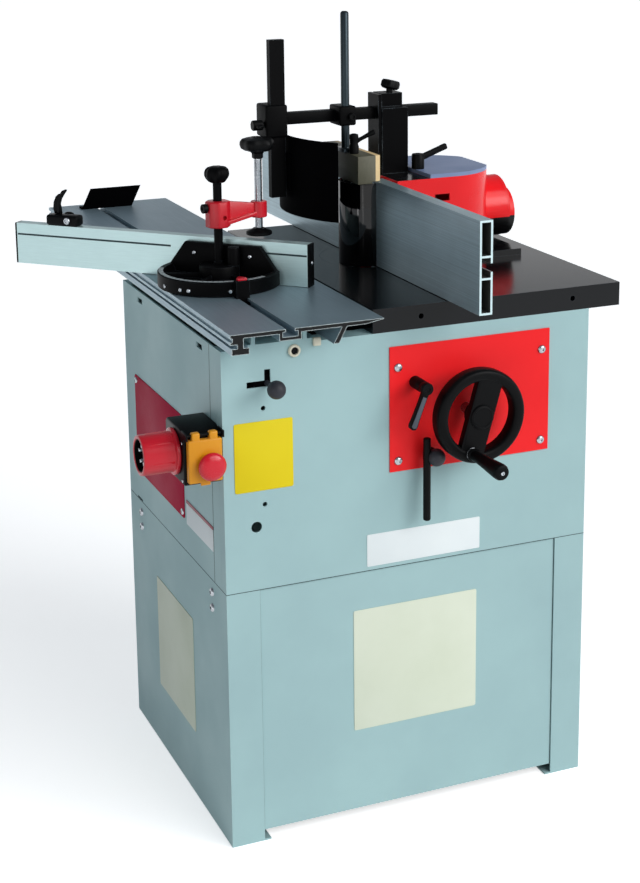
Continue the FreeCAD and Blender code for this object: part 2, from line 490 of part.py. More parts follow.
# Sliding table: one extrusion with a T-slot, two legs and a thin lip towards the cast table.
slide_profile = [
    ("slide_left", "table_height"), ("slot_x - mouth_half", "table_height"),
    ("slot_x - mouth_half", "slot_edge"), ("slot_x - inner_half", "slot_edge"),
    ("slot_x - inner_half", "slot_floor"),
    ("slot_x + inner_half", "slot_floor"), ("slot_x + inner_half", "slot_edge"),
    ("slot_x + mouth_half", "slot_edge"), ("slot_x + mouth_half", "table_height"),
    ("slide_right", "table_height"), ("slide_right", "table_height - lip_edge"),
    ("slide_left + lip_start", "plate_low"), ("brace + brace_foot + brace_lean", "plate_low"),
    ("brace + brace_foot", "slide_low"), ("brace", "slide_low"), ("brace + brace_lean", "plate_low"),
    ("slot_x + boss_half", "plate_low"), ("slot_x + boss_half", "boss_low"),
    ("slot_x - boss_half", "boss_low"), ("slot_x - boss_half", "plate_low"),
    ("leg_left + leg_thick", "plate_low"), ("leg_left + leg_thick", "leg_low"),
    ("foot_right", "leg_low"), ("foot_right", "slide_low"), ("foot_left", "slide_low"),
    ("foot_left", "leg_low"), ("leg_left", "leg_low"),
    ("leg_left", "table_height - side_lip"), ("slide_left", "table_height - side_lip"),
    ("slide_left", "groove_low"), ("groove_left", "groove_low"), ("groove_left", "groove_high"),
    ("slide_left", "groove_high"),
]
Piece("sliding_table").pad("XZ", "slide_front", "slide_length", slide_profile)

rail = Piece("guide_rail")
glides = Piece("glide_strips")
rail.pad("XY", "cabinet_top", "rail_plate", rect("rail_left", "front", "rail_width", "cabinet_depth"))
for x in ("rail_left + rail_web_inset", "rail_left + rail_width - rail_web_inset - rail_web"):
    strip = rect(x, "front", "rail_web", "cabinet_depth")
    rail.pad("XY", "rail_top", "web_top - rail_top", strip)
    glides.pad("XY", "web_top", "glide_thick", strip)

end_stop = Piece("end_stop_plate")
end_stop.pad("XZ", "stop_y", "stop_plate_thick",
             [("stop_left", "table_height"), ("stop_left + stop_plate_width", "table_height"),
              ("stop_lean + stop_plate_width", "stop_top"), ("stop_lean", "stop_top")])
end_stop.pad("XY", "table_height", "stop_plate_thick",
             rect("stop_left", "stop_y + stop_plate_thick", "stop_plate_width", "stop_plate_foot"))

# Mitre gauge: a bar in the T-slot with the pivot pin and the pointer, and what turns on the pin.
pivot = ("slot_x", "gauge_y", "table_height")
gauge_base = Piece("gauge_base", pivot)
gauge_base.pad("XY", "-slot_lip - slide_fit", "slot_lip + slide_fit",
               rect("slide_fit - mouth_half", "bar_front", "slot_mouth - 2 * slide_fit", "bar_long"))
gauge_base.pad("XY", "slide_fit - slot_deep", "slot_deep - slot_lip - 2 * slide_fit",
               rect("slide_fit - inner_half", "bar_front", "slot_inner - 2 * slide_fit", "bar_long"))
gauge_base.pad("XY", "0", "pointer_high",
               rect("-pointer_width / 2", "bar_front", "pointer_width", "pointer_deep"))
gauge_base.pad("XY", "0", "gauge_high", circle("0", "0", "pivot_radius"))

gauge_spin = -sizes["gauge_angle"]
beyond_fence = rect("-gauge_radius", "fence_back", "2 * gauge_radius", "gauge_radius")
gauge = Piece("gauge_body", pivot, spin=gauge_spin)
gauge.pad("XY", "gauge_lift", "gauge_thick", circle("0", "0", "gauge_radius"))
gauge.pad("XY", "disc_top", "gauge_high - disc_top", circle("0", "0", "gauge_hub"))
gauge.cut("XY", "gauge_lift", "gauge_high", beyond_fence)
gauge.pad("XZ", "fence_back - gauge_wall", "gauge_wall",
          [("-gauge_wall_foot", "disc_top"), ("gauge_wall_foot", "disc_top"),
           ("gauge_wall_half", "gauge_wall_high"), ("-gauge_wall_half", "gauge_wall_high")])
gauge.cut("XY", "gauge_lift", "gauge_wall_high", circle("0", "0", "pivot_radius + run_fit"))

mitre_outer = [("fence_back", "gauge_lift"), ("fence_face", "gauge_lift"),
               ("fence_face", "mitre_groove_low"), ("mitre_floor", "mitre_groove_low"),
               ("mitre_floor", "mitre_groove_top"), ("fence_face", "mitre_groove_top"),
               ("fence_face", "mitre_top"), ("fence_back", "mitre_top")]
mitre_inner = rect("fence_back + mitre_wall", "gauge_lift + mitre_wall",
                   "mitre_thick - 2 * mitre_wall - mitre_groove_deep", "mitre_high - 2 * mitre_wall")
Piece("mitre_fence", pivot, spin=gauge_spin).pad(
    "YZ", "-mitre_left", "mitre_left + mitre_right", mitre_outer, mitre_inner)
caps = Piece("fence_end_caps", pivot, spin=gauge_spin)
for x in ("-mitre_left - cap_thick", "mitre_right"):
    caps.pad("YZ", x, "cap_thick", rect("fence_back", "gauge_lift", "mitre_thick", "mitre_high"))

stop = Piece("stop_block", pivot, spin=gauge_spin)
stop.pad("YZ", "-stop_at", "stop_width",
         rect("fence_back - stop_side", "mitre_top", "block_deep", "stop_high"))
stop.pad("XZ", "stop_face", "slide_fit + finger_thick",
         circle("finger_x", "finger_z", "finger_pin"))
Piece("stop_finger", pivot, spin=gauge_spin).pad(
    "XZ", "stop_face + slide_fit", "finger_thick",
    rect("finger_x - finger_width / 2", "finger_z - finger_drop",
         "finger_width", "finger_drop + finger_width / 2"),
    circle("finger_x", "finger_z", "finger_pin + run_fit"))

# Hold-down clamp: a post on the pivot pin, an arm on the post, a screw through the arm's tip.
clamp_axis = ("slot_x", "gauge_y", "0")
Piece("clamp_post", clamp_axis).turn([
    ("0", "clamp_base"), ("pivot_radius", "clamp_base"),
    ("pivot_radius", "clamp_base + clamp_collar"), ("clamp_post_radius", "clamp_base + clamp_collar"),
    ("clamp_post_radius", "clamp_top"), ("mushroom_radius * 0.55", "clamp_top"),
    ("mushroom_radius", "clamp_top + mushroom_high * 0.4"),
    ("mushroom_radius", "clamp_top + mushroom_high * 0.65"),
    ("mushroom_radius * 0.6", "mushroom_top"), ("0", "mushroom_top")])
arm = Piece("clamp_arm", clamp_axis, spin=sizes["clamp_angle"])
arm.pad("XY", "arm_low", "clamp_hub_high", circle("0", "0", "clamp_hub_radius"))
arm.pad("XY", "arm_low", "clamp_arm_high",
        rect("0", "-clamp_arm_half", "clamp_reach", "2 * clamp_arm_half"))
arm.pad("XY", "arm_low", "clamp_arm_high", circle("clamp_reach", "0", "clamp_tip_radius"))
arm.cut("XY", "arm_low", "clamp_hub_high", circle("0", "0", "clamp_post_radius + run_fit"))
arm.cut("XY", "arm_low", "clamp_arm_high",
        circle("clamp_reach", "0", "clamp_screw_radius + run_fit"))
clamp_tip = ("slot_x + clamp_reach * cos(clamp_angle)",
             "gauge_y + clamp_reach * sin(clamp_angle)", "0")
Piece("clamp_foot", clamp_tip).turn([
    ("0", "foot_low"), ("clamp_foot_radius", "foot_low"),
    ("clamp_foot_radius", "foot_low + clamp_foot_high / 2"),
    ("clamp_ball", "foot_top"), ("0", "foot_top")])
Piece("clamp_screw", clamp_tip).turn([
    ("0", "foot_top"), ("clamp_screw_radius", "foot_top"), ("clamp_screw_radius", "handle_low"),
    ("clamp_handle_radius * 0.6", "handle_low"),
    ("clamp_handle_radius", "handle_low + clamp_handle_high * 0.25"),
    ("clamp_handle_radius * 0.7", "handle_low + clamp_handle_high * 0.5"),
    ("clamp_handle_radius", "handle_low + clamp_handle_high * 0.75"),
    ("clamp_handle_radius * 0.6", "handle_top"), ("0", "handle_top")])

# Spindle drive below the table: frame with guide columns, sliding carriage, spindle, motor and belt.
spindle_at = ("spindle_x", "spindle_y", "0")
columns = ("-column_offset", "column_offset")
frame = Piece("spindle_frame", spindle_at)
frame.pad("XY", "frame_low", "frame_plate",
          rect("-frame_half", "-frame_front", "2 * frame_half", "frame_front + frame_back"),
          circle("0", "0", "frame_bore"))
frame.pad("XY", "column_foot", "frame_low - column_foot",
          *[circle(x, "0", "column_radius") for x in columns])

carriage = Piece("spindle_carriage", spindle_at)
carriage.pad("XY", "carriage_base", "carriage_high",
             rect("-carriage_half", "-carriage_front",
                  "2 * carriage_half", "carriage_front + carriage_back"),
             circle("0", "0", "bearing_radius"),
             *[circle(x, "0", "column_radius + run_fit") for x in columns])
carriage.pad("XY", "carriage_top - motor_plate", "motor_plate",
             rect("-motor_offset - motor_foot", "-motor_plate_half",
                  "motor_offset + motor_foot - carriage_half", "motor_plate_half + carriage_back"))
carriage.pad("XY", "carriage_base - rack_tail", "carriage_high + rack_tail",
             rect("rack_x", "-carriage_front - rack_width", "rack_thick", "rack_width"))

bearings = Piece("spindle_bearings", spindle_at)
for z in ("carriage_base", "carriage_top - bearing_width"):
    bearings.pad("XY", z, "bearing_width", circle("0", "0", "bearing_radius - seat_fit"),
                 circle("0", "0", "spindle_radius + seat_fit"))
Piece("spindle", spindle_at).turn([
    ("0", "spindle_foot"), ("spindle_tail", "spindle_foot"), ("spindle_tail", "tail_top"),
    ("spindle_radius", "tail_top"), ("spindle_radius", "carriage_top"),
    ("neck_radius", "carriage_top"), ("neck_radius", "shoulder"), ("shoulder_radius", "shoulder"),
    ("shoulder_radius", "table_height"), ("spindle_radius", "table_height"),
    ("spindle_radius", "nose_top"), ("thread_radius", "nose_top"),
    ("thread_radius", "thread_top"), ("0", "thread_top")])
Piece("spindle_pulley", spindle_at).pad(
    "XY", "pulley_base", "pulley_high", circle("0", "0", "pulley_radius"),
    circle("0", "0", "spindle_tail + seat_fit"))

motor_at = ("spindle_x - motor_offset", "spindle_y", "0")
motor = Piece("motor", motor_at)
motor.turn([("0", "motor_base"), ("motor_radius - motor_bell", "motor_base"),
            ("motor_radius", "motor_base + motor_bell"), ("motor_radius", "motor_top"),
            ("0", "motor_top")])
motor.cut("XY", "motor_base", "motor_shaft_deep + slide_fit",
          circle("0", "0", "motor_shaft + run_fit"))
motor_pulley = Piece("motor_pulley", motor_at)
motor_pulley.pad("XY", "pulley_base", "pulley_high", circle("0", "0", "pulley_radius"))
motor_pulley.pad("XY", "pulley_top", "pulley_gap + motor_shaft_deep",
                 circle("0", "0", "motor_shaft"))

belt = Piece("drive_belt", motor_at)
belt.pad("XY", "belt_low", "belt_high", rect("0", "-belt_out", "motor_offset", "2 * belt_out"))
for x in ("0", "motor_offset"):
    belt.pad("XY", "belt_low", "belt_high", circle(x, "0", "belt_out"))
belt.cut("XY", "belt_low", "belt_high", rect("0", "-belt_in", "motor_offset", "2 * belt_in"))
for x in ("0", "motor_offset"):
    belt.cut("XY", "belt_low", "belt_high", circle(x, "0", "belt_in"))

# Height setting: shaft with its pinion, handwheel with a turning crank grip.
# Local +Z faces the operator.
shaft = Piece("handwheel_shaft", ("shaft_x", "front", "shaft_z"), to_operator)
shaft.pad("XY", "shaft_in", "wheel_back - shaft_in", circle("0", "0", "shaft_radius"))
shaft.pad("XY", "shaft_in", "pinion_width", circle("0", "0", "pinion_radius"))
wheel_at = ("shaft_x", "front - wheel_standoff", "shaft_z")
wheel = Piece("handwheel", wheel_at, to_operator, sizes["crank_angle"])
wheel.turn([("0", "-wheel_hub_high / 2"), ("wheel_hub", "-wheel_hub_high / 2"),
            ("wheel_hub", "wheel_hub_high * 0.37"), ("wheel_hub * 0.78", "wheel_hub_high / 2"),
            ("0", "wheel_hub_high / 2")])
wheel.pad("XY", "-spoke_thick / 2", "spoke_thick",
          middle("0", "0", "wheel_radius", "spoke_width / 2"))
wheel.turn([("rim_in", "rim_edge - rim_deep"), ("rim_in + rim_edge", "-rim_deep"),
            ("rim_out - rim_edge", "-rim_deep"), ("rim_out", "rim_edge - rim_deep"),
            ("rim_out", "rim_radius - rim_edge"), ("rim_out - rim_edge", "rim_radius"),
            ("rim_in + rim_edge", "rim_radius"), ("rim_in", "rim_radius - rim_edge")])
wheel.pad("XY", "0", "crank_pin_top", circle("crank_arm", "0", "crank_pin"))
Piece("crank_grip", wheel_at, to_operator, sizes["crank_angle"]).pad(
    "XY", "rim_radius + grip_gap", "grip_length", circle("crank_arm", "0", "grip_radius"),
    circle("crank_arm", "0", "crank_pin + run_fit"))

# Front levers: each turns on a pin through the control plate, the spindle lock slides in its slot.
lock_at = ("lock_x", "plate_front", "lock_z")
lock = Piece("height_lock_lever", lock_at, to_operator, sizes["lock_arm_angle"])
lock.pad("XY", "-lock_pin_deep", "lock_pin_deep", circle("0", "0", "lock_pin"))
lock.pad("XY", "0", "lock_hub_high", circle("0", "0", "lock_hub"))
lock.pad("XY", "lock_hub_high - lock_arm_thick", "lock_arm_thick",
         rect("0", "-lock_arm_width / 2", "lock_arm", "lock_arm_width"))
lock.pad("XY", "lock_hub_high - lock_arm_thick", "lock_arm_thick",
         circle("lock_arm", "0", "lock_arm_width * 0.6"))

tension = Piece("tension_lever", ("tension_x", "plate_front", "tension_z"), to_operator)
tension.pad("XY", "-lock_pin_deep", "lock_pin_deep", circle("0", "0", "lock_pin"))
tension.pad("XY", "0", "tension_hub_high", circle("0", "0", "tension_hub"))
tension.pad("XZ", "-tension_rod_down", "tension_rod_down + tension_rod_up",
            circle("-tension_rod_off", "tension_hub_high / 2", "tension_rod"))

bolt = Piece("spindle_lock_lever", ("bolt_x", "front", "bolt_z"), to_operator)
bolt.pad("XY", "-sheet_wall", "sheet_wall + bolt_ball_out", circle("0", "0", "bolt_stem"))
bolt.pad("XY", "-sheet_wall - bolt_plate_thick", "bolt_plate_thick",
         middle("0", "0", "bolt_plate_half", "bolt_ball"))
bolt.turn([("0", "ball_low"), ("bolt_ball * 0.6", "ball_low + bolt_ball * 0.2"),
           ("bolt_ball", "ball_low + bolt_ball * 0.75"), ("bolt_ball", "ball_low + bolt_ball * 1.25"),
           ("bolt_ball * 0.6", "ball_low + bolt_ball * 1.8"), ("0", "ball_low + bolt_ball * 2")])

# Switch on the left wall: box, flap on a pin, stop and start buttons, inlet with its pins.
switch = Piece("switch_box")
switch.pad("XY", "switch_base", "switch_high",
           rect("switch_left", "switch_y", "switch_deep", "switch_long"))
for x in ("switch_left", "left - ear_thick"):
    switch.pad("YZ", x, "ear_thick",
               rect("switch_y - ear_reach", "ear_low", "ear_reach", "switch_top - ear_low"))
switch.pad("YZ", "switch_left", "switch_deep", circle("axis_y", "axis_z", "flap_pin"))
switch.cut("XZ", "switch_y", "start_deep + start_play",
           circle("start_x", "start_z", "start_radius + run_fit"))
flap = Piece("switch_cover")
flap.pad("XY", "flap_low", "flap_high",
         rect("flap_left", "flap_front", "flap_width", "flap_thick"))
flap.cut("XZ", "flap_front + flap_wall", "flap_thick - flap_wall",
         rect("flap_left + flap_wall", "flap_low + flap_wall", "flap_width - 2 * flap_wall",
              "flap_high - 2 * flap_wall - 3 * flap_pin"))
flap.cut("YZ", "flap_left", "flap_width", circle("axis_y", "axis_z", "flap_pin + run_fit"))
flap.cut("XZ", "flap_front", "flap_wall", circle("stop_x", "stop_z", "stop_stem + run_fit"))
button = Piece("stop_button", ("stop_x", "flap_front", "stop_z"), to_operator)
button.pad("XY", "-flap_wall", "flap_wall + stop_gap", circle("0", "0", "stop_stem"))
button.turn([("0", "stop_gap"), ("stop_radius", "stop_gap"),
             ("stop_radius", "stop_gap + stop_head * 0.4"),
             ("stop_radius * 0.6", "stop_gap + stop_head"), ("0", "stop_gap + stop_head")])
Piece("start_button").pad("XZ", "switch_y - start_proud", "start_deep + start_proud",
                          circle("start_x", "start_z", "start_radius"))

inlet_at = ("switch_left", "switch_y + switch_long / 2", "switch_base + switch_high / 2")
inlet = Piece("plug_inlet", inlet_at, to_left)
inlet.pad("XY", "0", "inlet_flange_high", circle("0", "0", "inlet_flange"))
inlet.pad("XY", "inlet_flange_high", "inlet_length - inlet_flange_high",
          circle("0", "0", "inlet_radius"))
inlet.cut("XY", "inlet_floor", "inlet_length - inlet_floor", circle("0", "0", "inlet_bore"))
pins = [circle("inlet_pin_ring * cos(%d)" % angle, "inlet_pin_ring * sin(%d)" % angle,
               "inlet_pin") for angle in range(0, 360, 72)]
inlet.pad("XY", "inlet_floor", "inlet_pin_length", *pins)

# Fences: two hollow extrusions that slide on the studs of one carrier.
fence_at = ("fence_x", "spindle_y", "table_height")
fence_outline = [("0", "fence_lift"), ("fence_thick", "fence_lift"), ("fence_thick", "groove_base"),
                 ("fence_inner", "groove_base"), ("fence_inner", "mid_low"), ("fence_wall", "mid_low"),
                 ("fence_wall", "mid_high"), ("fence_inner", "mid_high"), ("fence_inner", "groove_top"),
                 ("fence_thick", "groove_top"), ("fence_thick", "fence_top"), ("0", "fence_top")]
chambers = [rect("fence_wall", z, "fence_thick - 2 * fence_wall", "chamber")
            for z in ("fence_lift + fence_wall", "mid_high + fence_wall")]
for label, start in (("infeed_fence", "-infeed_gap - fence_length"),
                     ("outfeed_fence", "outfeed_gap")):
    Piece(label, fence_at).pad("XZ", start, "fence_length", fence_outline, *chambers)

carrier = Piece("fence_carrier", fence_at)
for y in ("-carrier_half", "cutter_gap"):
    carrier.pad("XY", "0", "carrier_thick", rect("fence_thick", y, "carrier_strip", "strip_long"))
    carrier.pad("XY", "carrier_thick", "carrier_rise - carrier_thick",
                rect("fence_thick", y, "carrier_plate", "strip_long"))
for y in ("-hood_half", "cutter_gap"):
    carrier.pad("XY", "0", "carrier_thick",
                rect("fence_thick", y, "carrier_length - fence_thick", "hood_half - cutter_gap"))
carrier.pad("XY", "0", "carrier_thick",
            rect("carrier_length - carrier_tail", "-hood_half", "carrier_tail", "2 * hood_half"))
for y in ("-stud_near", "-stud_far", "stud_near", "stud_far"):
    carrier.pad("YZ", "stud_x", "hood_x - stud_x", circle(y, "stud_z", "stud_shank"))
    carrier.pad("YZ", "stud_x", "stud_head_thick", circle(y, "stud_z", "stud_head"))

# Hood: open to the cutter, round behind a flat end, with a dust duct and a bridge for the column.
hood_at = ("fence_x", "spindle_y", "0")
hood = Piece("hood_shell", hood_at)
beyond_end = rect("hood_end", "-hood_half", "hood_half", "2 * hood_half")
hood.pad("XY", "hood_base", "hood_high",
         rect("hood_x", "-hood_half", "hood_straight", "2 * hood_half"))
hood.pad("XY", "hood_base", "hood_high", circle("hood_mid", "0", "hood_half"))
hood.cut("XY", "hood_base", "hood_high", beyond_end)
hood.cut("XY", "hood_base", "hood_high",
         rect("hood_x", "-hood_inner", "hood_straight", "2 * hood_inner"))
hood.cut("XY", "hood_base", "hood_high", circle("hood_mid", "0", "hood_inner"))
hood.pad("XY", "hood_base", "hood_high",
         rect("hood_end - hood_wall", "-end_chord", "hood_wall", "2 * end_chord"))
hood.cut("XZ", "-hood_half", "hood_wall",
         rect("hood_x + window_in", "table_height + window_rise", "window_width", "window_high"))
hood.cut("YZ", "hood_end - duct_root", "duct_root", circle("duct_side", "duct_z", "duct_bore"))
hood.pad("YZ", "hood_end - duct_root", "duct_root + duct_seat",
         circle("duct_side", "duct_z", "duct_radius"), circle("duct_side", "duct_z", "duct_bore"))

# The duct is split at mid-height: its upper half belongs to the hood, its lower half to the spigot.
duct_span = "duct_end - duct_start"
bore_span = "duct_end - duct_start - duct_wall"
spigot = Piece("dust_spigot", hood_at)
for half_duct, unwanted in ((hood, "duct_z - duct_radius"), (spigot, "duct_z")):
    half_duct.pad("YZ", "duct_start", duct_span, circle("duct_side", "duct_z", "duct_radius"))
    half_duct.cut("YZ", "duct_start", duct_span,
                  rect("duct_side - duct_radius", unwanted, "2 * duct_radius", "duct_radius"))
    half_duct.cut("YZ", "duct_start", bore_span, circle("duct_side", "duct_z", "duct_bore"))
hood.cut("YZ", "duct_end - duct_wall", "duct_wall",
         circle("duct_side", "spigot_z", "spigot_bore"))
spigot.pad("YZ", "duct_end", "collar_thick", circle("duct_side", "duct_z", "duct_radius"))
spigot.pad("YZ", "duct_end", "collar_thick + spigot_length",
           circle("duct_side", "spigot_z", "spigot_radius"))
spigot.cut("YZ", "duct_end - duct_wall", "duct_wall + collar_thick + spigot_length",
           circle("duct_side", "spigot_z", "spigot_bore"))

hood.pad("XY", "bridge_low", "bridge_thick",
         rect("hood_x", "-hood_half", "bridge_length", "2 * hood_half"))
hood.pad("XY", "bridge_low", "bridge_thick",
         rect("bridge_end", "-lid_lever_side - lid_tab", "lid_lever_in + lid_tab", "2 * lid_tab"))
lever_bore = circle("lever_x", "-lid_lever_side", "lid_lever_pin + run_fit")
hood.cut("XY", "bridge_low", "bridge_thick", lever_bore)

lid = Piece("hood_lid", hood_at)
lid.pad("XY", "hood_top", "lid_thick", circle("hood_mid", "0", "hood_half"))
lid.cut("XY", "hood_top", "lid_thick", beyond_end)
lid.cut("XY", "hood_top", "lid_thick",
        rect("lid_start - hood_half", "-hood_half", "hood_half", "2 * hood_half"))
lid.pad("XY", "hood_top", "lid_thick",
        rect("lid_start", "-hood_half", "hood_mid - lid_start", "2 * hood_half"))
lid.cut("XY", "hood_top", "lid_thick", lever_bore)
lid_lever_at = ("fence_x + lever_x", "spindle_y - lid_lever_side", "hood_top + lid_thick")
lid_lever = Piece("lid_lock_lever", lid_lever_at)
lid_lever.pad("XY", "-lid_lever_deep", "lid_lever_deep", circle("0", "0", "lid_lever_pin"))
lid_lever.pad("XY", "0", "lid_lever_high", circle("0", "0", "lid_lever_hub"))
lid_lever.pad("XY", "lid_lever_high - lid_lever_thick", "lid_lever_thick",
              rect("0", "-lid_lever_width / 2", "lid_lever_arm", "lid_lever_width"))

guard = Piece("cutter_guard", ("fence_x - slide_fit", "spindle_y - guard_side", "0"))
guard.pad("XY", "guard_base", "guard_high", circle("0", "0", "guard_radius"),
          circle("0", "0", "guard_radius - guard_wall"))
guard.cut("XY", "guard_base", "guard_high",
          rect("0", "-guard_radius", "guard_radius", "2 * guard_radius"))
guard.pad("XY", "bridge_low - tongue_thick", "tongue_thick",
          rect("-guard_mid", "guard_side - tongue_width / 2",
               "guard_mid + hood_x + tongue_lap", "tongue_width"))

# Pressure device: column on the hood's bridge, bar through its head, clamps, rods and shoes.
column_at = ("post_x", "spindle_y", "0")
bar_section = middle("0", "bar_z", "bar_hole", "bar_hole")
column = Piece("pressure_column", column_at)
column.pad("XY", "hood_top", "post_high", middle("0", "0", "post_half", "post_half"),
           middle("0", "0", "post_half - post_wall", "post_half - post_wall"))
column.pad("XY", "post_top", "post_shoulder", middle("0", "0", "post_half", "post_half"))
column.pad("XY", "post_top + post_shoulder", "post_head - post_shoulder",
           rect("-bracket_half", "-bracket_front", "2 * bracket_half", "bracket_front + post_half"))
column.pad("YZ", "-post_half - rule_thick", "rule_thick",
           rect("-rule_half", "hood_top + rule_lift",
                "2 * rule_half", "head_top - hood_top - rule_lift"))
column.cut("YZ", "-post_half - rule_thick", "2 * post_half + rule_thick", bar_section)
column.cut("XY", "bar_z", "head_top - bar_z", circle("0", "0", "knob_pin + run_fit"))
knob = Piece("bar_lock_knob", column_at)
knob.pad("XY", "bar_z + bar_hole", "knob_low - bar_z - bar_hole", circle("0", "0", "knob_pin"))
knob.turn([("0", "knob_low"), ("knob_radius * 0.7", "knob_low"),
           ("knob_radius", "knob_low + knob_high * 0.3"),
           ("knob_radius", "knob_low + knob_high * 0.8"),
           ("knob_radius * 0.8", "knob_low + knob_high"), ("0", "knob_low + knob_high")])

bar = Piece("pressure_bar")
bar.pad("YZ", "bar_left", "bar_right - bar_left",
        middle("spindle_y", "bar_z", "bar_half", "bar_half"))
bar.pad("XY", "block_low", "2 * block_half_high",
        rect("block_left", "block_front", "block_right - block_left", "block_back - block_front"))
bar.cut("XY", "block_low", "2 * block_half_high",
        middle("side_x", "side_y", "side_half_width + bar_fit", "side_half_thick + bar_fit"))
bar.cut("YZ", "block_left", "block_cheek", circle("side_y", "wing_z", "wing_pin + run_fit"))
wing = Piece("post_wing_knob", ("block_left", "side_y", "wing_z"), to_left)
wing.pad("XY", "-cheek", "cheek + wing_gap", circle("0", "0", "wing_pin"))
wing.pad("XY", "wing_gap", "wing_hub_length", circle("0", "0", "wing_hub"))
wing.pad("XY", "2 * wing_gap", "wing_hub_length - 2 * wing_gap",
         middle("0", "0", "wing_thick / 2", "wing_span"))

Piece("side_post").pad("XY", "side_low", "side_down + side_up",
                       middle("side_x", "side_y", "side_half_width", "side_half_thick"))
shoe = Piece("side_shoe", ("shoe_x", "side_y", "0"))
shoe.pad("XY", "shoe_low", "shoe_high",
         circle("0", "0", "shoe_radius"), circle("0", "0", "shoe_radius - shoe_thick"))
shoe.cut("XY", "shoe_low", "shoe_high",
         rect("-shoe_chord", "-shoe_radius", "shoe_chord + shoe_radius", "2 * shoe_radius"))
shoe.pad("XY", "side_low + shoe_lug_up", "shoe_lug_high",
         rect("-shoe_radius - shoe_stand", "-shoe_lug_half",
              "shoe_stand + shoe_lug_sink", "2 * shoe_lug_half"))

rod_clamp = Piece("rod_clamp")
rod_clamp.pad("XY", "bar_z - rod_clamp_low", "rod_clamp_high",
              rect("rod_x - rod_clamp_half", "clamp_front",
                   "2 * rod_clamp_half", "clamp_back - clamp_front"),
              circle("rod_x", "rod_y", "rod_radius + run_fit"))
rod_clamp.cut("YZ", "rod_x - rod_clamp_half", "2 * rod_clamp_half",
              middle("spindle_y", "bar_z", "bar_hole", "bar_hole"))
rod = Piece("pressure_rod", ("rod_x", "rod_y", "0"))
rod.pad("XY", "wood_top", "rod_foot_thick", middle("0", "0", "rod_foot_half", "rod_foot_long / 2"))
rod.turn([("0", "rod_low"), ("rod_radius", "rod_low"), ("rod_radius", "rod_top - rod_radius / 2"),
          ("rod_radius / 2", "rod_top"), ("0", "rod_top")])
Piece("top_shoe").pad("XY", "wood_low", "wood_top - wood_low", [
    ("wood_left", "spindle_y + wood_back"), ("wood_left", "spindle_y - wood_bend"),
    ("wood_left + wood_offset", "spindle_y - wood_front"),
    ("wood_right + wood_offset", "spindle_y - wood_front + wood_skew"),
    ("wood_right", "spindle_y - wood_bend"), ("wood_right", "spindle_y + wood_back")])

doc.recompute()

for thing in doc.Objects:
    if "Invalid" in thing.State or "Error" in thing.State:
        raise RuntimeError("%s failed: %s" % (thing.Name, thing.State))
for label, thing in nodes.items():
    if thing.Shape.isNull() or not thing.Shape.isValid():
        raise RuntimeError("%s has no valid shape" % label)

os.makedirs("parts", exist_ok=True)
for label, thing in nodes.items():
    thing.Shape.exportStep("parts/%s.step" % label)
print(len(nodes), "pieces written")
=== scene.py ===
import math

import bpy
from mathutils import Matrix, Vector


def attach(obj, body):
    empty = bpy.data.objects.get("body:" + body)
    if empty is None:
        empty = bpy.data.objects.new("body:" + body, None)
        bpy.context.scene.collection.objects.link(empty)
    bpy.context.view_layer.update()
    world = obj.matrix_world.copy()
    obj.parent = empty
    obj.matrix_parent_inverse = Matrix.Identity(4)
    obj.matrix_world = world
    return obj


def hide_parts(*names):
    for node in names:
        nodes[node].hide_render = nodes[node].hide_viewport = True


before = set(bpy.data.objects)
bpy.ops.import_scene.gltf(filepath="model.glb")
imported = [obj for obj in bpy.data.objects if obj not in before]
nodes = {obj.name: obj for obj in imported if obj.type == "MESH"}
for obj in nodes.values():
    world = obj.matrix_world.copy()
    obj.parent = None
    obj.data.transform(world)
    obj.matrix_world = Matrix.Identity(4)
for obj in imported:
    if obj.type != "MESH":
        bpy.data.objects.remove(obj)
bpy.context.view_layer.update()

# Spindle moulder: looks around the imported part. Lengths are millimetres in the part's frame; lamps stand in metres.
mm = 0.001
weldGap = 0.002 * mm
smoothAngle = 32


def about(axis, degrees):
    return Matrix.Rotation(math.radians(degrees), 4, axis)


upward = Matrix.Identity(4)
toOperator = about("X", 90)
toBack = about("X", -90)
toLeft = about("Y", -90)
toRight = about("Y", 90)


# A place, the turn that a piece's own Z axis takes there, and a spin about that axis.
def spot(x, y, z, turn=upward, spin=0):
    return Matrix.Translation(Vector((x, y, z)) * mm) @ turn @ about("Z", spin)


def selectOnly(piece):
    bpy.ops.object.select_all(action="DESELECT")
    piece.select_set(True)
    bpy.context.view_layer.objects.active = piece


def settle(piece, at):
    piece.matrix_world = at
    selectOnly(piece)
    bpy.ops.object.transform_apply()
    return piece


def openEdit(piece, mode="FACE"):
    selectOnly(piece)
    bpy.ops.object.mode_set(mode="EDIT")
    bpy.ops.mesh.select_mode(type=mode)
    bpy.ops.mesh.select_all(action="SELECT")


def closeEdit():
    bpy.ops.mesh.select_all(action="SELECT")
    bpy.ops.mesh.normals_make_consistent(inside=False)
    bpy.ops.object.mode_set(mode="OBJECT")


def applyModifier(piece, modifier):
    selectOnly(piece)
    bpy.ops.object.modifier_apply(modifier=modifier.name)


def roundEdges(piece, width, steps=2, angle=30):
    modifier = piece.modifiers.new("round", "BEVEL")
    modifier.width = width * mm
    modifier.segments = steps
    modifier.limit_method = "ANGLE"
    modifier.angle_limit = math.radians(angle)
    applyModifier(piece, modifier)
    return piece


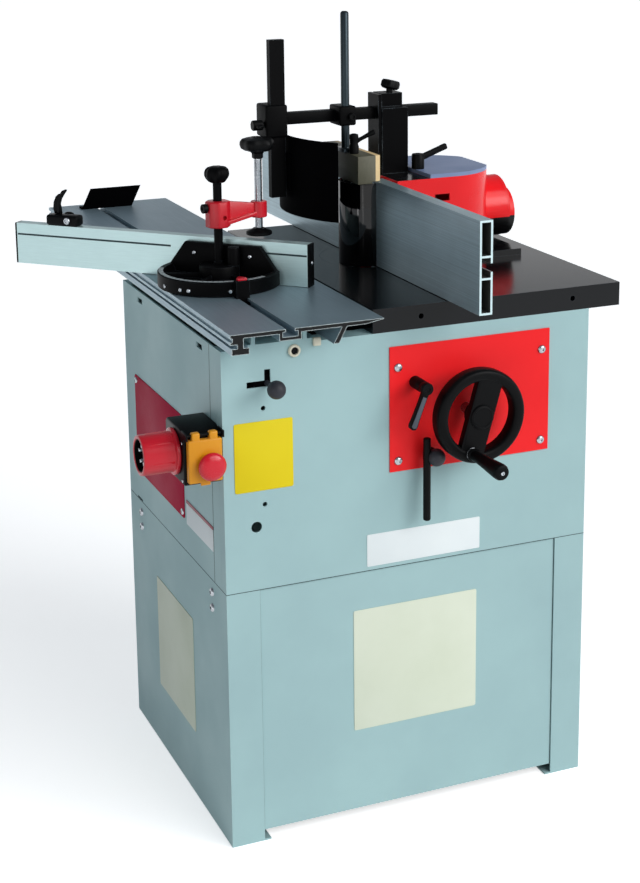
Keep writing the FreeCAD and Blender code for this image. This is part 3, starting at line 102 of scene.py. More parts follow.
# Drawn up from a circle, ring by ring of (radius, height), with lobes for a grip or closed as a tube.
def turnedPiece(rings, at=upward, sides=48, lobes=0, lobeDepth=0.0, tube=False):
    radius, height = rings[0]
    bpy.ops.mesh.primitive_circle_add(vertices=sides, radius=radius * mm, location=(0, 0, height * mm),
                                      fill_type="NOTHING" if tube else "NGON")
    piece = bpy.context.object
    bpy.ops.object.transform_apply()
    for vertex in piece.data.vertices:
        angle = math.atan2(vertex.co.y, vertex.co.x)
        factor = 1 - lobeDepth * (0.5 - 0.5 * math.cos(lobes * angle))
        vertex.co.x *= factor
        vertex.co.y *= factor
    openEdit(piece, "VERT" if tube else "FACE")
    following = rings[1:] + rings[:1] if tube else rings[1:]
    for (oldRadius, oldHeight), (radius, height) in zip(rings, following):
        bpy.ops.mesh.extrude_region_move(TRANSFORM_OT_translate={"value": (0, 0, (height - oldHeight) * mm)})
        factor = radius / oldRadius
        bpy.ops.transform.resize(value=(factor, factor, 1), center_override=(0, 0, height * mm))
    if tube:
        bpy.ops.mesh.select_all(action="SELECT")
        bpy.ops.mesh.remove_doubles(threshold=weldGap)
    closeEdit()
    return settle(piece, at)


def boxPiece(low, high, rounding=0, steps=2, at=upward):
    centre = [(a + b) / 2 * mm for a, b in zip(low, high)]
    size = [(b - a) * mm for a, b in zip(low, high)]
    bpy.ops.mesh.primitive_cube_add(size=1, location=centre, scale=size)
    piece = bpy.context.object
    bpy.ops.object.transform_apply()
    if rounding:
        openEdit(piece)
        bpy.ops.mesh.bevel(offset=rounding * mm, segments=steps, affect="EDGES")
        closeEdit()
    return settle(piece, at)


# A flat outline drawn from a circle's vertices, extruded from low to high.
def outlinePiece(outline, low, high, at=upward, rounding=0, steps=2):
    bpy.ops.mesh.primitive_circle_add(vertices=len(outline), radius=1, fill_type="NGON")
    piece = bpy.context.object
    for vertex, (x, y) in zip(piece.data.vertices, outline):
        vertex.co = (x * mm, y * mm, low * mm)
    openEdit(piece)
    bpy.ops.mesh.extrude_region_move(TRANSFORM_OT_translate={"value": (0, 0, (high - low) * mm)})
    closeEdit()
    if rounding:
        roundEdges(piece, rounding, steps)
    return settle(piece, at)


def fuse(piece, *others, operation="UNION"):
    for other in others:
        modifier = piece.modifiers.new("fuse", "BOOLEAN")
        modifier.operation = operation
        modifier.solver = "EXACT"
        modifier.object = other
        applyModifier(piece, modifier)
        bpy.data.objects.remove(other)
    return piece


def cutAway(piece, *tools):
    return fuse(piece, *tools, operation="DIFFERENCE")


def bore(radius, low, high, at, sides=40):
    return turnedPiece([(radius, low), (radius, high)], at, sides)


def gather(pieces):
    bpy.ops.object.select_all(action="DESELECT")
    for piece in pieces:
        piece.select_set(True)
    bpy.context.view_layer.objects.active = pieces[0]
    if len(pieces) > 1:
        bpy.ops.object.join()
    return pieces[0]


def roundedOutline(width, height, radius, steps=5):
    points = []
    for quarter, (sx, sy) in enumerate(((1, 1), (-1, 1), (-1, -1), (1, -1))):
        for step in range(steps + 1):
            angle = math.radians(90 * (quarter + step / steps))
            points.append((sx * (width / 2 - radius) + radius * math.cos(angle),
                           sy * (height / 2 - radius) + radius * math.sin(angle)))
    return points


# A ring segment between two turns, out along its outer edge and back along its inner one.
def bandOutline(outer, inner, first, last, steps):
    turns = [math.radians(first + (last - first) * step / steps) for step in range(steps + 1)]
    edge = [(outer * math.cos(turn), outer * math.sin(turn)) for turn in turns]
    return edge + [(inner * math.cos(turn), inner * math.sin(turn)) for turn in reversed(turns)]


# Rings of a ball between two turns from its foot.
def ballRings(radius, centre, first=24, last=172, steps=16):
    turns = [math.radians(first + (last - first) * step / steps) for step in range(steps + 1)]
    return [(radius * math.sin(turn), centre - radius * math.cos(turn)) for turn in turns]


# Names a finished piece, smooths it, gives it its finish and the body that it rides on.
def dress(piece, spec, finish):
    piece.name = spec["name"]
    piece.data.name = spec["name"]
    openEdit(piece)
    bpy.ops.mesh.remove_doubles(threshold=weldGap)
    closeEdit()
    bpy.ops.object.shade_smooth_by_angle(angle=math.radians(smoothAngle))
    piece.data.materials.clear()
    piece.data.materials.append(finishes[finish])
    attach(piece, spec["body"])
    for node in spec.get("nodes", []):
        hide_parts(node)


# Dresses a piece that is a turned profile, at one place or at several.
def dressTurned(spec, finish, sides, *places, **form):
    dress(gather([turnedPiece(spec["profile"], at, sides, **form) for at in places]), spec, finish)


print("stage: node groups")


# A colour written as 0-255 screen values, as linear RGBA.
def tone(red, green, blue):
    linear = []
    for value in (red, green, blue):
        share = value / 255
        linear.append(share / 12.92 if share <= 0.04045 else ((share + 0.055) / 1.055) ** 2.4)
    return (*linear, 1.0)


def newGroup(name, inputs, outputs):
    group = bpy.data.node_groups.new(name, "ShaderNodeTree")
    for label, kind, value in inputs:
        group.interface.new_socket(label, in_out="INPUT", socket_type=kind).default_value = value
    for label, kind in outputs:
        group.interface.new_socket(label, in_out="OUTPUT", socket_type=kind)
    return group, group.nodes.new("NodeGroupInput"), group.nodes.new("NodeGroupOutput")


# A group that makes colour, gloss and height from two colours and one input of its own.
def fieldGroup(name, *ownInput):
    return newGroup(name, [("Base", "NodeSocketColor", (0.5, 0.5, 0.5, 1)),
                           ("Shade", "NodeSocketColor", (0.4, 0.4, 0.4, 1)), ownInput],
                    [("Color", "NodeSocketColor"), ("Gloss", "NodeSocketFloat"), ("Height", "NodeSocketFloat")])


def addNode(tree, kind, settings=None, values=None):
    node = tree.nodes.new("ShaderNode" + kind)
    for label, value in (settings or {}).items():
        setattr(node, label, value)
    for label, value in (values or {}).items():
        node.inputs[label].default_value = value
    return node


def addMath(tree, operation, values=None, kind="Math"):
    return addNode(tree, kind, {"operation": operation}, values)


def addNoise(tree, scale, detail, roughness):
    return addNode(tree, "TexNoise", None, {"Scale": scale, "Detail": detail, "Roughness": roughness})


def addRange(tree, low, high, first=0.0, last=1.0):
    return addNode(tree, "MapRange", None, {"From Min": low, "From Max": high, "To Min": first, "To Max": last})


# Links nodes, each row as a node, its output, another node and its input.
def wire(tree, *rows):
    for source, output, target, entry in rows:
        tree.links.new(source.outputs[output], target.inputs[entry])


# Links or sets the three inputs of a colour mix and returns its output.
def mixColours(tree, factor, first, second):
    mix = addNode(tree, "Mix", {"data_type": "RGBA", "blend_type": "MIX", "clamp_factor": True})
    for socket, value in ((mix.inputs[0], factor), (mix.inputs[6], first), (mix.inputs[7], second)):
        if isinstance(value, bpy.types.NodeSocket):
            tree.links.new(value, socket)
        else:
            socket.default_value = value
    return mix.outputs[2]


# Paint or moulded plastic: fine orange-peel grain and broad faint clouds.
def coatGroup():
    group, start, end = fieldGroup("coatField", "Grain", "NodeSocketFloat", 900.0)
    coords = addNode(group, "TexCoord")
    fine = addNoise(group, 900.0, 2.0, 0.6)
    broad = addNoise(group, 7.0, 4.0, 0.55)
    clouds = addRange(group, 0.35, 0.7)
    blend = addMath(group, "MULTIPLY_ADD", {1: 0.6})
    wire(group, (coords, "Object", fine, "Vector"), (coords, "Object", broad, "Vector"),
         (start, "Grain", fine, "Scale"), (broad, 0, clouds, "Value"), (fine, 0, blend, 0), (clouds, 0, blend, 2),
         (blend, 0, end, "Gloss"), (fine, 0, end, "Height"))
    colour = mixColours(group, clouds.outputs[0], start.outputs["Base"], start.outputs["Shade"])
    group.links.new(colour, end.inputs["Color"])
    return group


# Drawn or ground metal: streaks along one direction, with slow smudges.
def brushGroup():
    group, start, end = fieldGroup("brushField", "Stretch", "NodeSocketVector", (900.0, 6.0, 900.0))
    coords = addNode(group, "TexCoord")
    mapping = addNode(group, "Mapping")
    streak = addNoise(group, 1.0, 3.0, 0.65)
    smudge = addNoise(group, 11.0, 5.0, 0.6)
    total = addMath(group, "MULTIPLY_ADD", {1: 0.5})
    spread = addRange(group, 0.45, 1.05)
    wire(group, (coords, "Object", mapping, "Vector"), (start, "Stretch", mapping, "Scale"),
         (mapping, 0, streak, "Vector"), (coords, "Object", smudge, "Vector"), (smudge, 0, total, 0),
         (streak, 0, total, 2), (total, 0, spread, "Value"), (spread, 0, end, "Gloss"), (streak, 0, end, "Height"))
    colour = mixColours(group, spread.outputs[0], start.outputs["Base"], start.outputs["Shade"])
    group.links.new(colour, end.inputs["Color"])
    return group


# Marks the outer edges of a piece, broken up by noise: where handling rubs the finish, and where a painted edge
# highlight stands in for light catching the edge.
def edgeGroup():
    group, start, end = newGroup("edgeField", [("Radius", "NodeSocketFloat", 0.001)],
                                 [("Mask", "NodeSocketFloat"), ("Line", "NodeSocketFloat")])
    bevel = addNode(group, "Bevel", {"samples": 4})
    geometry = addNode(group, "NewGeometry")
    coords = addNode(group, "TexCoord")
    dot = addMath(group, "DOT_PRODUCT", None, "VectorMath")
    bend = addRange(group, 0.985, 0.75)
    chips = addNoise(group, 60.0, 4.0, 0.6)
    edgeWearAndHighlight = addRange(group, 0.35, 0.65)
    product = addNode(group, "Math", {"operation": "MULTIPLY", "use_clamp": True})
    wire(group, (start, "Radius", bevel, "Radius"), (bevel, 0, dot, 0), (geometry, "Normal", dot, 1),
         (dot, "Value", bend, "Value"), (coords, "Object", chips, "Vector"), (chips, 0, edgeWearAndHighlight, "Value"),
         (bend, 0, product, 0), (edgeWearAndHighlight, 0, product, 1), (product, 0, end, "Mask"), (bend, 0, end, "Line"))
    return group


groups = {"coat": coatGroup(), "brush": brushGroup(), "edge": edgeGroup()}

print("stage: finishes")
finishes = {}


# The share of a face that looks along the part's Y axis: the sawn ends of the extrusions.
def endShare(tree):
    coords = addNode(tree, "TexCoord")
    parts = addNode(tree, "SeparateXYZ")
    size = addMath(tree, "ABSOLUTE")
    share = addMath(tree, "GREATER_THAN", {1: 0.9})
    wire(tree, (coords, "Normal", parts, 0), (parts, "Y", size, 0), (size, 0, share, 0))
    return share.outputs[0]


# One where the surface lies inside a box of the part's frame, given by two corners.
def boxShare(tree, low, high):
    centre = [(a + b) / 2 * mm for a, b in zip(low, high)]
    half = [(b - a) / 2 * mm for a, b in zip(low, high)]
    coords = addNode(tree, "TexCoord")
    offset = addMath(tree, "SUBTRACT", {1: centre}, "VectorMath")
    size = addMath(tree, "ABSOLUTE", None, "VectorMath")
    beyond = addMath(tree, "SUBTRACT", {1: half}, "VectorMath")
    parts = addNode(tree, "SeparateXYZ")
    wider = addMath(tree, "MAXIMUM")
    widest = addMath(tree, "MAXIMUM")
    share = addMath(tree, "LESS_THAN", {1: 0.0})
    wire(tree, (coords, "Object", offset, 0), (offset, 0, size, 0), (size, 0, beyond, 0), (beyond, 0, parts, 0),
         (parts, "X", wider, 0), (parts, "Y", wider, 1), (wider, 0, widest, 0), (parts, "Z", widest, 1),
         (widest, 0, share, 0))
    return share.outputs[0]


def newMaterial(name):
    material = bpy.data.materials.new(name)
    material.use_nodes = True
    return material, material.node_tree, material.node_tree.nodes["Principled BSDF"]


# A finish with a stretch is brushed metal, any other a coat. A patch is a box of the part's frame in a tone of its
# own: a second colour on the hood and duct, and painted shade inside the fence chambers.
def addFinish(name, base, shade, edgeWearAndHighlight, rough, bump, grain=900.0, stretch=None, edge=1.0, edgeWearAndHighlightAmount=0.4, metal=0.0,
              spec=0.5, coat=0.0, end=None, patch=None, patchTone=None):
    material, tree, shader = newMaterial(name)
    ownInput = {"Stretch": stretch} if stretch else {"Grain": grain}
    surface = addNode(tree, "Group", {"node_tree": groups["brush" if stretch else "coat"]},
                      {"Base": tone(*base), "Shade": tone(*shade), **ownInput})
    # The edge colour, also used to outline end faces, is partly rubbed wear and partly painted highlight: mostly
    # lighter edges that stand in for light catching them.
    edges = addNode(tree, "Group", {"node_tree": groups["edge"]}, {"Radius": edge * mm})
    edgeWearAndHighlightShare = addMath(tree, "MULTIPLY", {1: edgeWearAndHighlightAmount})
    colour = mixColours(tree, edgeWearAndHighlightShare.outputs[0], surface.outputs["Color"], tone(*edgeWearAndHighlight))
    if patch:
        colour = mixColours(tree, boxShare(tree, *patch), colour, tone(*patchTone))
    if end:
        outlined = mixColours(tree, edges.outputs["Line"], tone(*end), tone(*edgeWearAndHighlight))
        colour = mixColours(tree, endShare(tree), colour, outlined)
    tree.links.new(colour, shader.inputs["Base Color"])
    gloss = addRange(tree, 0.0, 1.0, *rough)
    relief = addNode(tree, "Bump", None, {"Strength": bump, "Distance": 0.2 * mm})
    wire(tree, (edges, "Mask", edgeWearAndHighlightShare, 0), (surface, "Gloss", gloss, "Value"), (gloss, 0, shader, "Roughness"),
         (surface, "Height", relief, "Height"), (relief, 0, shader, "Normal"))
    for label, value in (("Metallic", metal), ("Specular IOR Level", spec), ("Coat Weight", coat),
                         ("Coat Roughness", 0.08)):
        shader.inputs[label].default_value = value
    finishes[name] = material


addFinish("powderCoat", (167, 199, 200), (161, 192, 194), (196, 218, 217), (0.4, 0.54), 0.1, grain=700.0,
          edgeWearAndHighlightAmount=0.5, spec=0.35)
addFinish("redPaint", (255, 32, 36), (249, 27, 32), (252, 110, 100), (0.34, 0.46), 0.05, edgeWearAndHighlightAmount=0.45, spec=0.25)
addFinish("clampRed", (214, 26, 42), (198, 20, 36), (240, 110, 116), (0.2, 0.32), 0.08, edgeWearAndHighlightAmount=0.45, spec=0.4)
addFinish("hoodRed", (253, 24, 32), (244, 20, 28), (252, 110, 104), (0.16, 0.28), 0.05, coat=0.1, spec=0.25,
          patch=((80, -10, 914.6), (138.6, 176, 916)), patchTone=(12, 12, 14))
addFinish("slatePaint", (134, 151, 188), (125, 142, 178), (150, 160, 182), (0.34, 0.48), 0.06, spec=0.35)
addFinish("blackPaint", (7, 7, 8), (5, 5, 6), (104, 116, 124), (0.36, 0.5), 0.08, edgeWearAndHighlightAmount=0.6, spec=0.05)
# Grey edge lines on the black column: painted highlight along its edges, with some wear.
addFinish("columnBlack", (5, 5, 6), (4, 4, 5), (128, 138, 144), (0.3, 0.42), 0.06, edgeWearAndHighlightAmount=0.9, edge=1.3, spec=0.04)
addFinish("mattBlack", (2, 2, 3), (1, 1, 2), (24, 25, 27), (0.6, 0.75), 0.1, spec=0.02)
addFinish("glossBlack", (4, 4, 5), (3, 3, 4), (60, 62, 68), (0.05, 0.08), 0.005, edgeWearAndHighlightAmount=0.3, spec=0.45)
addFinish("tableIron", (9, 12, 16), (7, 9, 12), (104, 112, 120), (0.12, 0.2), 0.02,
          stretch=(500.0, 30.0, 500.0), edgeWearAndHighlightAmount=0.5, spec=0.24)
addFinish("darkIron", (62, 64, 66), (50, 52, 54), (130, 132, 134), (0.48, 0.62), 0.3, grain=500.0, metal=0.5)
addFinish("tableAluminium", (156, 178, 188), (140, 161, 171), (226, 240, 240), (0.36, 0.48), 0.08,
          stretch=(700.0, 5.0, 700.0), metal=0.6, edgeWearAndHighlightAmount=0.9, edge=2.0, end=(8, 9, 10))
addFinish("mitreAluminium", (202, 228, 228), (190, 216, 216), (226, 240, 239), (0.32, 0.44), 0.06,
          stretch=(30.0, 30.0, 900.0), metal=0.7, edgeWearAndHighlightAmount=0.7)
# The patch paints the inside of the fence chambers a darker grey: painted shade in the hollows.
addFinish("fenceAluminium", (182, 205, 213), (144, 164, 172), (214, 232, 234), (0.3, 0.42), 0.12,
          stretch=(900.0, 4.0, 900.0), metal=0.6, edgeWearAndHighlightAmount=0.9, end=(204, 226, 229),
          patch=((55.6, -900, 782), (74.4, 900, 913.6)), patchTone=(110, 113, 110))
addFinish("brightSteel", (190, 194, 198), (160, 165, 170), (230, 232, 234), (0.16, 0.3), 0.05,
          stretch=(300.0, 300.0, 900.0), metal=1.0)
addFinish("darkRod", (46, 57, 63), (38, 48, 54), (204, 216, 218), (0.24, 0.38), 0.05,
          stretch=(300.0, 300.0, 900.0), metal=0.8, edgeWearAndHighlightAmount=0.9)
addFinish("blackPlastic", (10, 11, 12), (8, 8, 9), (50, 52, 56), (0.3, 0.44), 0.08, edgeWearAndHighlightAmount=0.35, spec=0.08)
addFinish("ductPlastic", (10, 11, 12), (8, 8, 9), (50, 52, 56), (0.24, 0.36), 0.06, edgeWearAndHighlightAmount=0.3, spec=0.25,
          patch=((200, 40, 831), (340, 150, 900)), patchTone=(246, 26, 32))
addFinish("greyKnob", (48, 49, 55), (40, 41, 47), (90, 92, 100), (0.42, 0.56), 0.1, edgeWearAndHighlightAmount=0.3, spec=0.3)
addFinish("greyLever", (84, 90, 100), (72, 78, 88), (140, 148, 158), (0.4, 0.52), 0.1, edgeWearAndHighlightAmount=0.5, spec=0.3)
addFinish("redPlastic", (214, 18, 42), (198, 14, 36), (236, 90, 94), (0.2, 0.32), 0.03, coat=0.2, spec=0.35)
addFinish("yellowPlastic", (226, 152, 24), (216, 140, 18), (255, 208, 110), (0.3, 0.42), 0.05, spec=0.35)
addFinish("greenPlastic", (40, 140, 70), (30, 122, 58), (110, 180, 128), (0.24, 0.36), 0.05)
addFinish("creamPlastic", (228, 222, 200), (216, 208, 184), (240, 236, 222), (0.36, 0.5), 0.06)
addFinish("scaleGrey", (168, 177, 178), (154, 163, 165), (200, 206, 207), (0.36, 0.5), 0.05, spec=0.3)
addFinish("seamShade", (70, 84, 86), (60, 74, 76), (90, 104, 106), (0.6, 0.8), 0.1, spec=0.1)
addFinish("beltRubber", (30, 30, 30), (22, 22, 22), (60, 60, 60), (0.6, 0.8), 0.25, grain=500.0)
addFinish("yellowFoil", (232, 210, 26), (228, 203, 20), (255, 236, 120), (0.4, 0.52), 0.04, grain=300.0, spec=0.2)
addFinish("whiteFoil", (238, 244, 244), (230, 237, 238), (250, 250, 250), (0.4, 0.54), 0.04, grain=300.0, spec=0.2)
addFinish("creamFoil", (226, 232, 212), (218, 225, 203), (244, 246, 236), (0.4, 0.54), 0.05, grain=300.0, spec=0.2)
addFinish("redFoil", (180, 6, 58), (170, 5, 52), (120, 40, 60), (0.4, 0.54), 0.04, grain=300.0, spec=0.03, edgeWearAndHighlightAmount=0.8)
addFinish("maroonFoil", (140, 24, 48), (126, 20, 42), (176, 90, 100), (0.34, 0.48), 0.04, grain=300.0)


# Pressure shoe: olive-brown faces with long grain; the right chamfer and right face are pale, partly as bare sawn
# wood and partly as a painted highlight of the light from the right.
def addWood(name, stretch, sawnAndHighlightFrom, sawnAndHighlightTo, faceTones, sawnAndHighlightTones):
    material, tree, shader = newMaterial(name)
    coords = addNode(tree, "TexCoord")
    mapping = addNode(tree, "Mapping", None, {"Scale": stretch})
    grain = addNoise(tree, 1.0, 5.0, 0.7)
    place = addNode(tree, "SeparateXYZ")
    sawnAndHighlight = addRange(tree, sawnAndHighlightFrom * mm, sawnAndHighlightTo * mm)
    rough = addRange(tree, 0.0, 1.0, 0.42, 0.66)
    bump = addNode(tree, "Bump", None, {"Strength": 0.25, "Distance": 0.3 * mm})
    wire(tree, (coords, "Object", mapping, "Vector"), (coords, "Object", place, 0), (mapping, 0, grain, "Vector"),
         (place, "X", sawnAndHighlight, "Value"), (grain, 0, rough, "Value"), (rough, 0, shader, "Roughness"),
         (grain, 0, bump, "Height"), (bump, 0, shader, "Normal"))
    face, edge = (mixColours(tree, grain.outputs[0], tone(*pale), tone(*dark))
                  for pale, dark in (faceTones, sawnAndHighlightTones))
    # The right chamfer and face take the pale tones: bare wood and painted highlight.
    tree.links.new(mixColours(tree, sawnAndHighlight.outputs[0], face, edge), shader.inputs["Base Color"])
    finishes[name] = material


addWood("shoeWood", (260.0, 7.0, 120.0), 51.8, 52.6, ((98, 96, 77), (80, 78, 62)), ((244, 218, 168), (214, 180, 124)))

print("stage: finishes on the CAD nodes")
cadFinishes = {
    "powderCoat": "base_left_panel base_right_panel base_front_panel upper_left_panel rear_cover upper_front_panel "
                  "guide_rail",
    "redPaint": "control_plate",
    "hoodRed": "hood_shell",
    "slatePaint": "hood_lid",
    "blackPaint": "gauge_base side_post",
    "columnBlack": "pressure_column",
    "mattBlack": "end_stop_plate side_shoe",
    "tableIron": "main_table table_ring fence_carrier",
    "darkIron": "spindle_frame spindle_carriage motor spindle_pulley motor_pulley",
    "tableAluminium": "sliding_table",
    "mitreAluminium": "mitre_fence",
    "fenceAluminium": "infeed_fence outfeed_fence",
    "brightSteel": "spindle spindle_bearings handwheel_shaft",
    "blackPlastic": "fence_end_caps",
    "ductPlastic": "dust_spigot",
    "creamPlastic": "glide_strips",
    "beltRubber": "drive_belt",
}
for finishName, names in cadFinishes.items():
    for nodeName in names.split():
        for materialSlot in nodes[nodeName].material_slots:
            materialSlot.material = finishes[finishName]

print("stage: handwheel and crank grip")
wheelAt = spot(84, -283, 619, toOperator, 254)
crankAt = wheelAt @ spot(55, 0, 0)
handwheel = {"name": "handwheelCasting", "body": "height_wheel", "slot": "black_plastic", "nodes": ["handwheel"],
             "rim": (61, -4), "half": (9, 13), "squareness": 0.6, "rimSteps": 28,
             "spoke": ((-56, -19.5, -7), (56, 19.5, 7)),
             "hub": [(17, -15), (18, -14), (18, 8.6), (17, 9.8), (14.6, 10.4), (13.8, 9.6), (7, 9.6)],
             "crank": [(9.4, 2), (9.4, 8.4), (8.4, 8.9), (5, 8.9), (5, 98)]}
rimRings = []
for step in range(handwheel["rimSteps"]):
    turn = math.tau * step / handwheel["rimSteps"]
    rimRings.append([middle + half * math.copysign(abs(wave) ** handwheel["squareness"], wave) for middle, half, wave
                     in zip(handwheel["rim"], handwheel["half"], (math.cos(turn), math.sin(turn)))])
dress(fuse(turnedPiece(rimRings, wheelAt, 96, tube=True), boxPiece(*handwheel["spoke"], 2.4, 3, wheelAt),
           turnedPiece(handwheel["hub"], wheelAt, 64), turnedPiece(handwheel["crank"], crankAt, 40)),
      handwheel, "blackPlastic")
crankFittings = {"name": "crankFittings", "body": "height_wheel", "slot": "steel",
                 "washer": [(9.8, 8.95), (9.8, 9.8), (9.4, 10), (6, 10)],
                 "bolt": [(3, 98.02), (3, 99.4), (2.5, 100), (1.6, 100), (1.4, 99)]}
dress(gather([turnedPiece(crankFittings[name], crankAt, 32) for name in ("washer", "bolt")]), crankFittings,
      "brightSteel")
grip = {"name": "crankHandle", "body": "wheel_grip", "slot": "black_plastic", "nodes": ["crank_grip"],
        "profile": [(5.3, 10.2), (9.2, 10.2), (10, 11), (10, 14), (8.4, 16), (7.8, 22), (8.4, 36), (9.7, 56),
                    (11.3, 78), (11.9, 88), (11.8, 93), (10.4, 96.8), (8, 98), (5.3, 98)]}
dressTurned(grip, "blackPlastic", 48, crankAt, tube=True)

print("stage: front levers")
lockAt = spot(2, -239, 668, toOperator, 248)
lockLever = {"name": "heightLockLever", "body": "lock_lever", "slot": "black_plastic",
             "nodes": ["height_lock_lever"], "span": (34, 43.4),
             "hub": [(5, -22), (5, 0.02), (8.6, 0.02), (9, 0.6), (9, 26), (8, 28), (8, 31), (9, 33), (9, 42.6),
                     (8.2, 44), (4, 44), (3.6, 43)],
             "arm": [(4, -5), (20, -4.6), (46, -5.2), (56, -6), (60.4, -4.6), (62, 0), (60.4, 4.6), (56, 6),
                     (46, 5.2), (20, 4.6), (4, 5)]}
dress(fuse(turnedPiece(lockLever["hub"], lockAt),
           outlinePiece(lockLever["arm"], *lockLever["span"], lockAt, 1.6, 3)), lockLever, "blackPlastic")
lockFace = {"name": "heightLockFace", "body": "lock_lever", "slot": "black_plastic", "span": (43.2, 44),
            "outline": [(12, -3), (46, -3.5), (57, -4), (59, 0), (57, 4), (46, 3.5), (12, 3)]}
dress(outlinePiece(lockFace["outline"], *lockFace["span"], lockAt, 0.3), lockFace, "greyLever")

tensionAt = spot(26, -239, 558, toOperator)
tension = {"name": "beltLever", "body": "belt_lever", "slot": "black_paint", "nodes": ["tension_lever"],
           "rod": [(3.6, -95), (5, -94), (5.5, -92.4), (5.5, 27.4), (5, 29), (3.6, 30)], "rodAt": (-13, 0, 18),
           "pin": [(5, -22), (5, 0.02), (9, 0.02), (9, 12), (7, 12.4)], "block": ((-15, -8, 6), (4, 8, 17.4))}
dress(fuse(turnedPiece(tension["pin"], tensionAt), boxPiece(*tension["block"], 3, 3, tensionAt),
           turnedPiece(tension["rod"], tensionAt @ spot(*tension["rodAt"], toBack), 32)), tension, "blackPlastic")
tensionBall = {"name": "beltLeverKnob", "body": "belt_lever", "slot": "black_plastic",
               "profile": ballRings(13, 22.8)}
dressTurned(tensionBall, "greyKnob", 48, tensionAt)

boltAt = spot(-221, -237, 693, toOperator)
lockBolt = {"name": "spindleLockKnob", "body": "spindle_lock", "slot": "black_plastic",
            "nodes": ["spindle_lock_lever"], "profile": [(4, -3), (4, 22.6)] + ballRings(13, 35)}
dressTurned(lockBolt, "greyKnob", 48, boltAt)
lockSlide = {"name": "spindleLockSlide", "body": "spindle_lock", "slot": "black_plastic",
             "plate": ((-20, -13, -5.5), (20, 13, -2.6))}
dress(boxPiece(*lockSlide["plate"], 0.6, 2, boltAt), lockSlide, "mattBlack")

print("stage: switch, buttons and inlet")
startAt = spot(-316, -233, 612, toOperator)
stopAt = spot(-309, -245, 590, toOperator)
inletAt = spot(-343, -192.5, 599, toLeft)
hingeAt = spot(-343, -239.5, 633, toRight)
switchBox = {"name": "switchHousing", "body": "cabinet", "slot": "black_plastic", "nodes": ["switch_box"],
             "section": [(-560, -233), (-560, -152), (-632, -152), (-638, -158), (-638, -212), (-630, -233)],
             "span": (-343, -288), "ears": [((x, -245.5, 627), (x + 2.6, -222, 637)) for x in (-343, -290.6)]}
boxShape = fuse(outlinePiece(switchBox["section"], *switchBox["span"], toRight, 2.4, 3),
                *[boxPiece(*ear, 0.8) for ear in switchBox["ears"]],
                bore(2, 0.2, 54.8, hingeAt, 24))
dress(cutAway(boxShape, bore(9.1, -20, 2, startAt)), switchBox, "blackPlastic")

flap = {"name": "switchFlap", "body": "switch_flap", "slot": "yellow_plastic", "nodes": ["switch_cover"],
        "shell": ((-339.9, -245, 565.5), (-291.1, -234, 627)), "hollow": ((-335.9, -241, 569.5), (-295.1, -233, 622)),
        "lugs": [((x, -244.6, 624), (x + 12, -234.4, 637.4)) for x in (-334.5, -309)],
        "catch": ((-323, -244.6, 561.5), (-309, -241.6, 567))}
flapShape = fuse(boxPiece(*flap["shell"], 2.2, 3), *[boxPiece(*lug, 2.4, 3) for lug in flap["lugs"]],
                 boxPiece(*flap["catch"], 1))
flapShape = cutAway(flapShape, boxPiece(*flap["hollow"], 1), bore(2.2, -2, 59, hingeAt, 24),
                    bore(6.15, -9, 2, stopAt, 32))
dress(flapShape, flap, "yellowPlastic")

stopButton = {"name": "stopMushroom", "body": "stop_push", "slot": "red_plastic", "nodes": ["stop_button"],
              "profile": [(6, -4), (6, 5.5), (17, 5.5), (19.2, 6.2), (20, 7.6), (20, 9.6), (19, 11.8), (16.6, 13.8),
                          (13, 15.4), (8.6, 16.2), (4, 16.5)]}
dressTurned(stopButton, "redPlastic", 56, stopAt)
startButton = {"name": "startKey", "body": "start_push", "slot": "green_plastic", "nodes": ["start_button"],
               "profile": [(8.6, -12), (9, -11.5), (9, 3), (8.4, 3.8), (7.2, 4), (6.4, 3.4), (3, 3.2)]}
dressTurned(startButton, "greenPlastic", 40, startAt)

inlet = {"name": "inletShell", "body": "cabinet", "slot": "red_plastic", "nodes": ["plug_inlet"],
         "profile": [(31.6, 0.05), (33, 1.4), (33, 4.8), (31.8, 6), (28.9, 6.6), (28.5, 8), (28.5, 49.6), (28, 51.4),
                     (26.8, 52), (24.4, 52), (23.3, 51.2), (23, 49.6), (23, 12), (8, 12)],
         "rib": ((28, -1.5, 8), (28.9, 1.5, 40)), "ribTurns": range(15, 375, 60)}
ribShapes = [boxPiece(*inlet["rib"], 0.3, 2, inletAt @ about("Z", angle)) for angle in inlet["ribTurns"]]
dress(fuse(turnedPiece(inlet["profile"], inletAt, 64), *ribShapes), inlet, "redPlastic")
inletFace = {"name": "inletInsert", "body": "cabinet", "slot": "black_plastic",
             "profile": [(22.9, 12.05), (22.9, 50.6), (22.4, 51.2), (21.8, 50.6), (21.6, 20), (9, 20), (8.4, 20.8),
                         (3, 20.8)]}
dressTurned(inletFace, "blackPlastic", 48, inletAt)
inletPins = {"name": "inletPins", "body": "cabinet", "slot": "steel", "ring": 13, "turns": range(0, 360, 72),
             "profile": [(3.1, 19.4), (3.1, 46.4), (2.5, 47.6), (1.4, 48)]}
dressTurned(inletPins, "brightSteel", 20,
            *[inletAt @ about("Z", angle) @ spot(inletPins["ring"], 0, 0) for angle in inletPins["turns"]])
boxScrews = {"name": "switchScrews", "body": "cabinet", "slot": "steel",
             "profile": [(2.2, 0.05), (2.2, 0.8), (1.6, 1.4), (1, 1.5)]}
dressTurned(boxScrews, "brightSteel", 20, *[spot(-343, -227, z, toLeft) for z in (566, 620)])

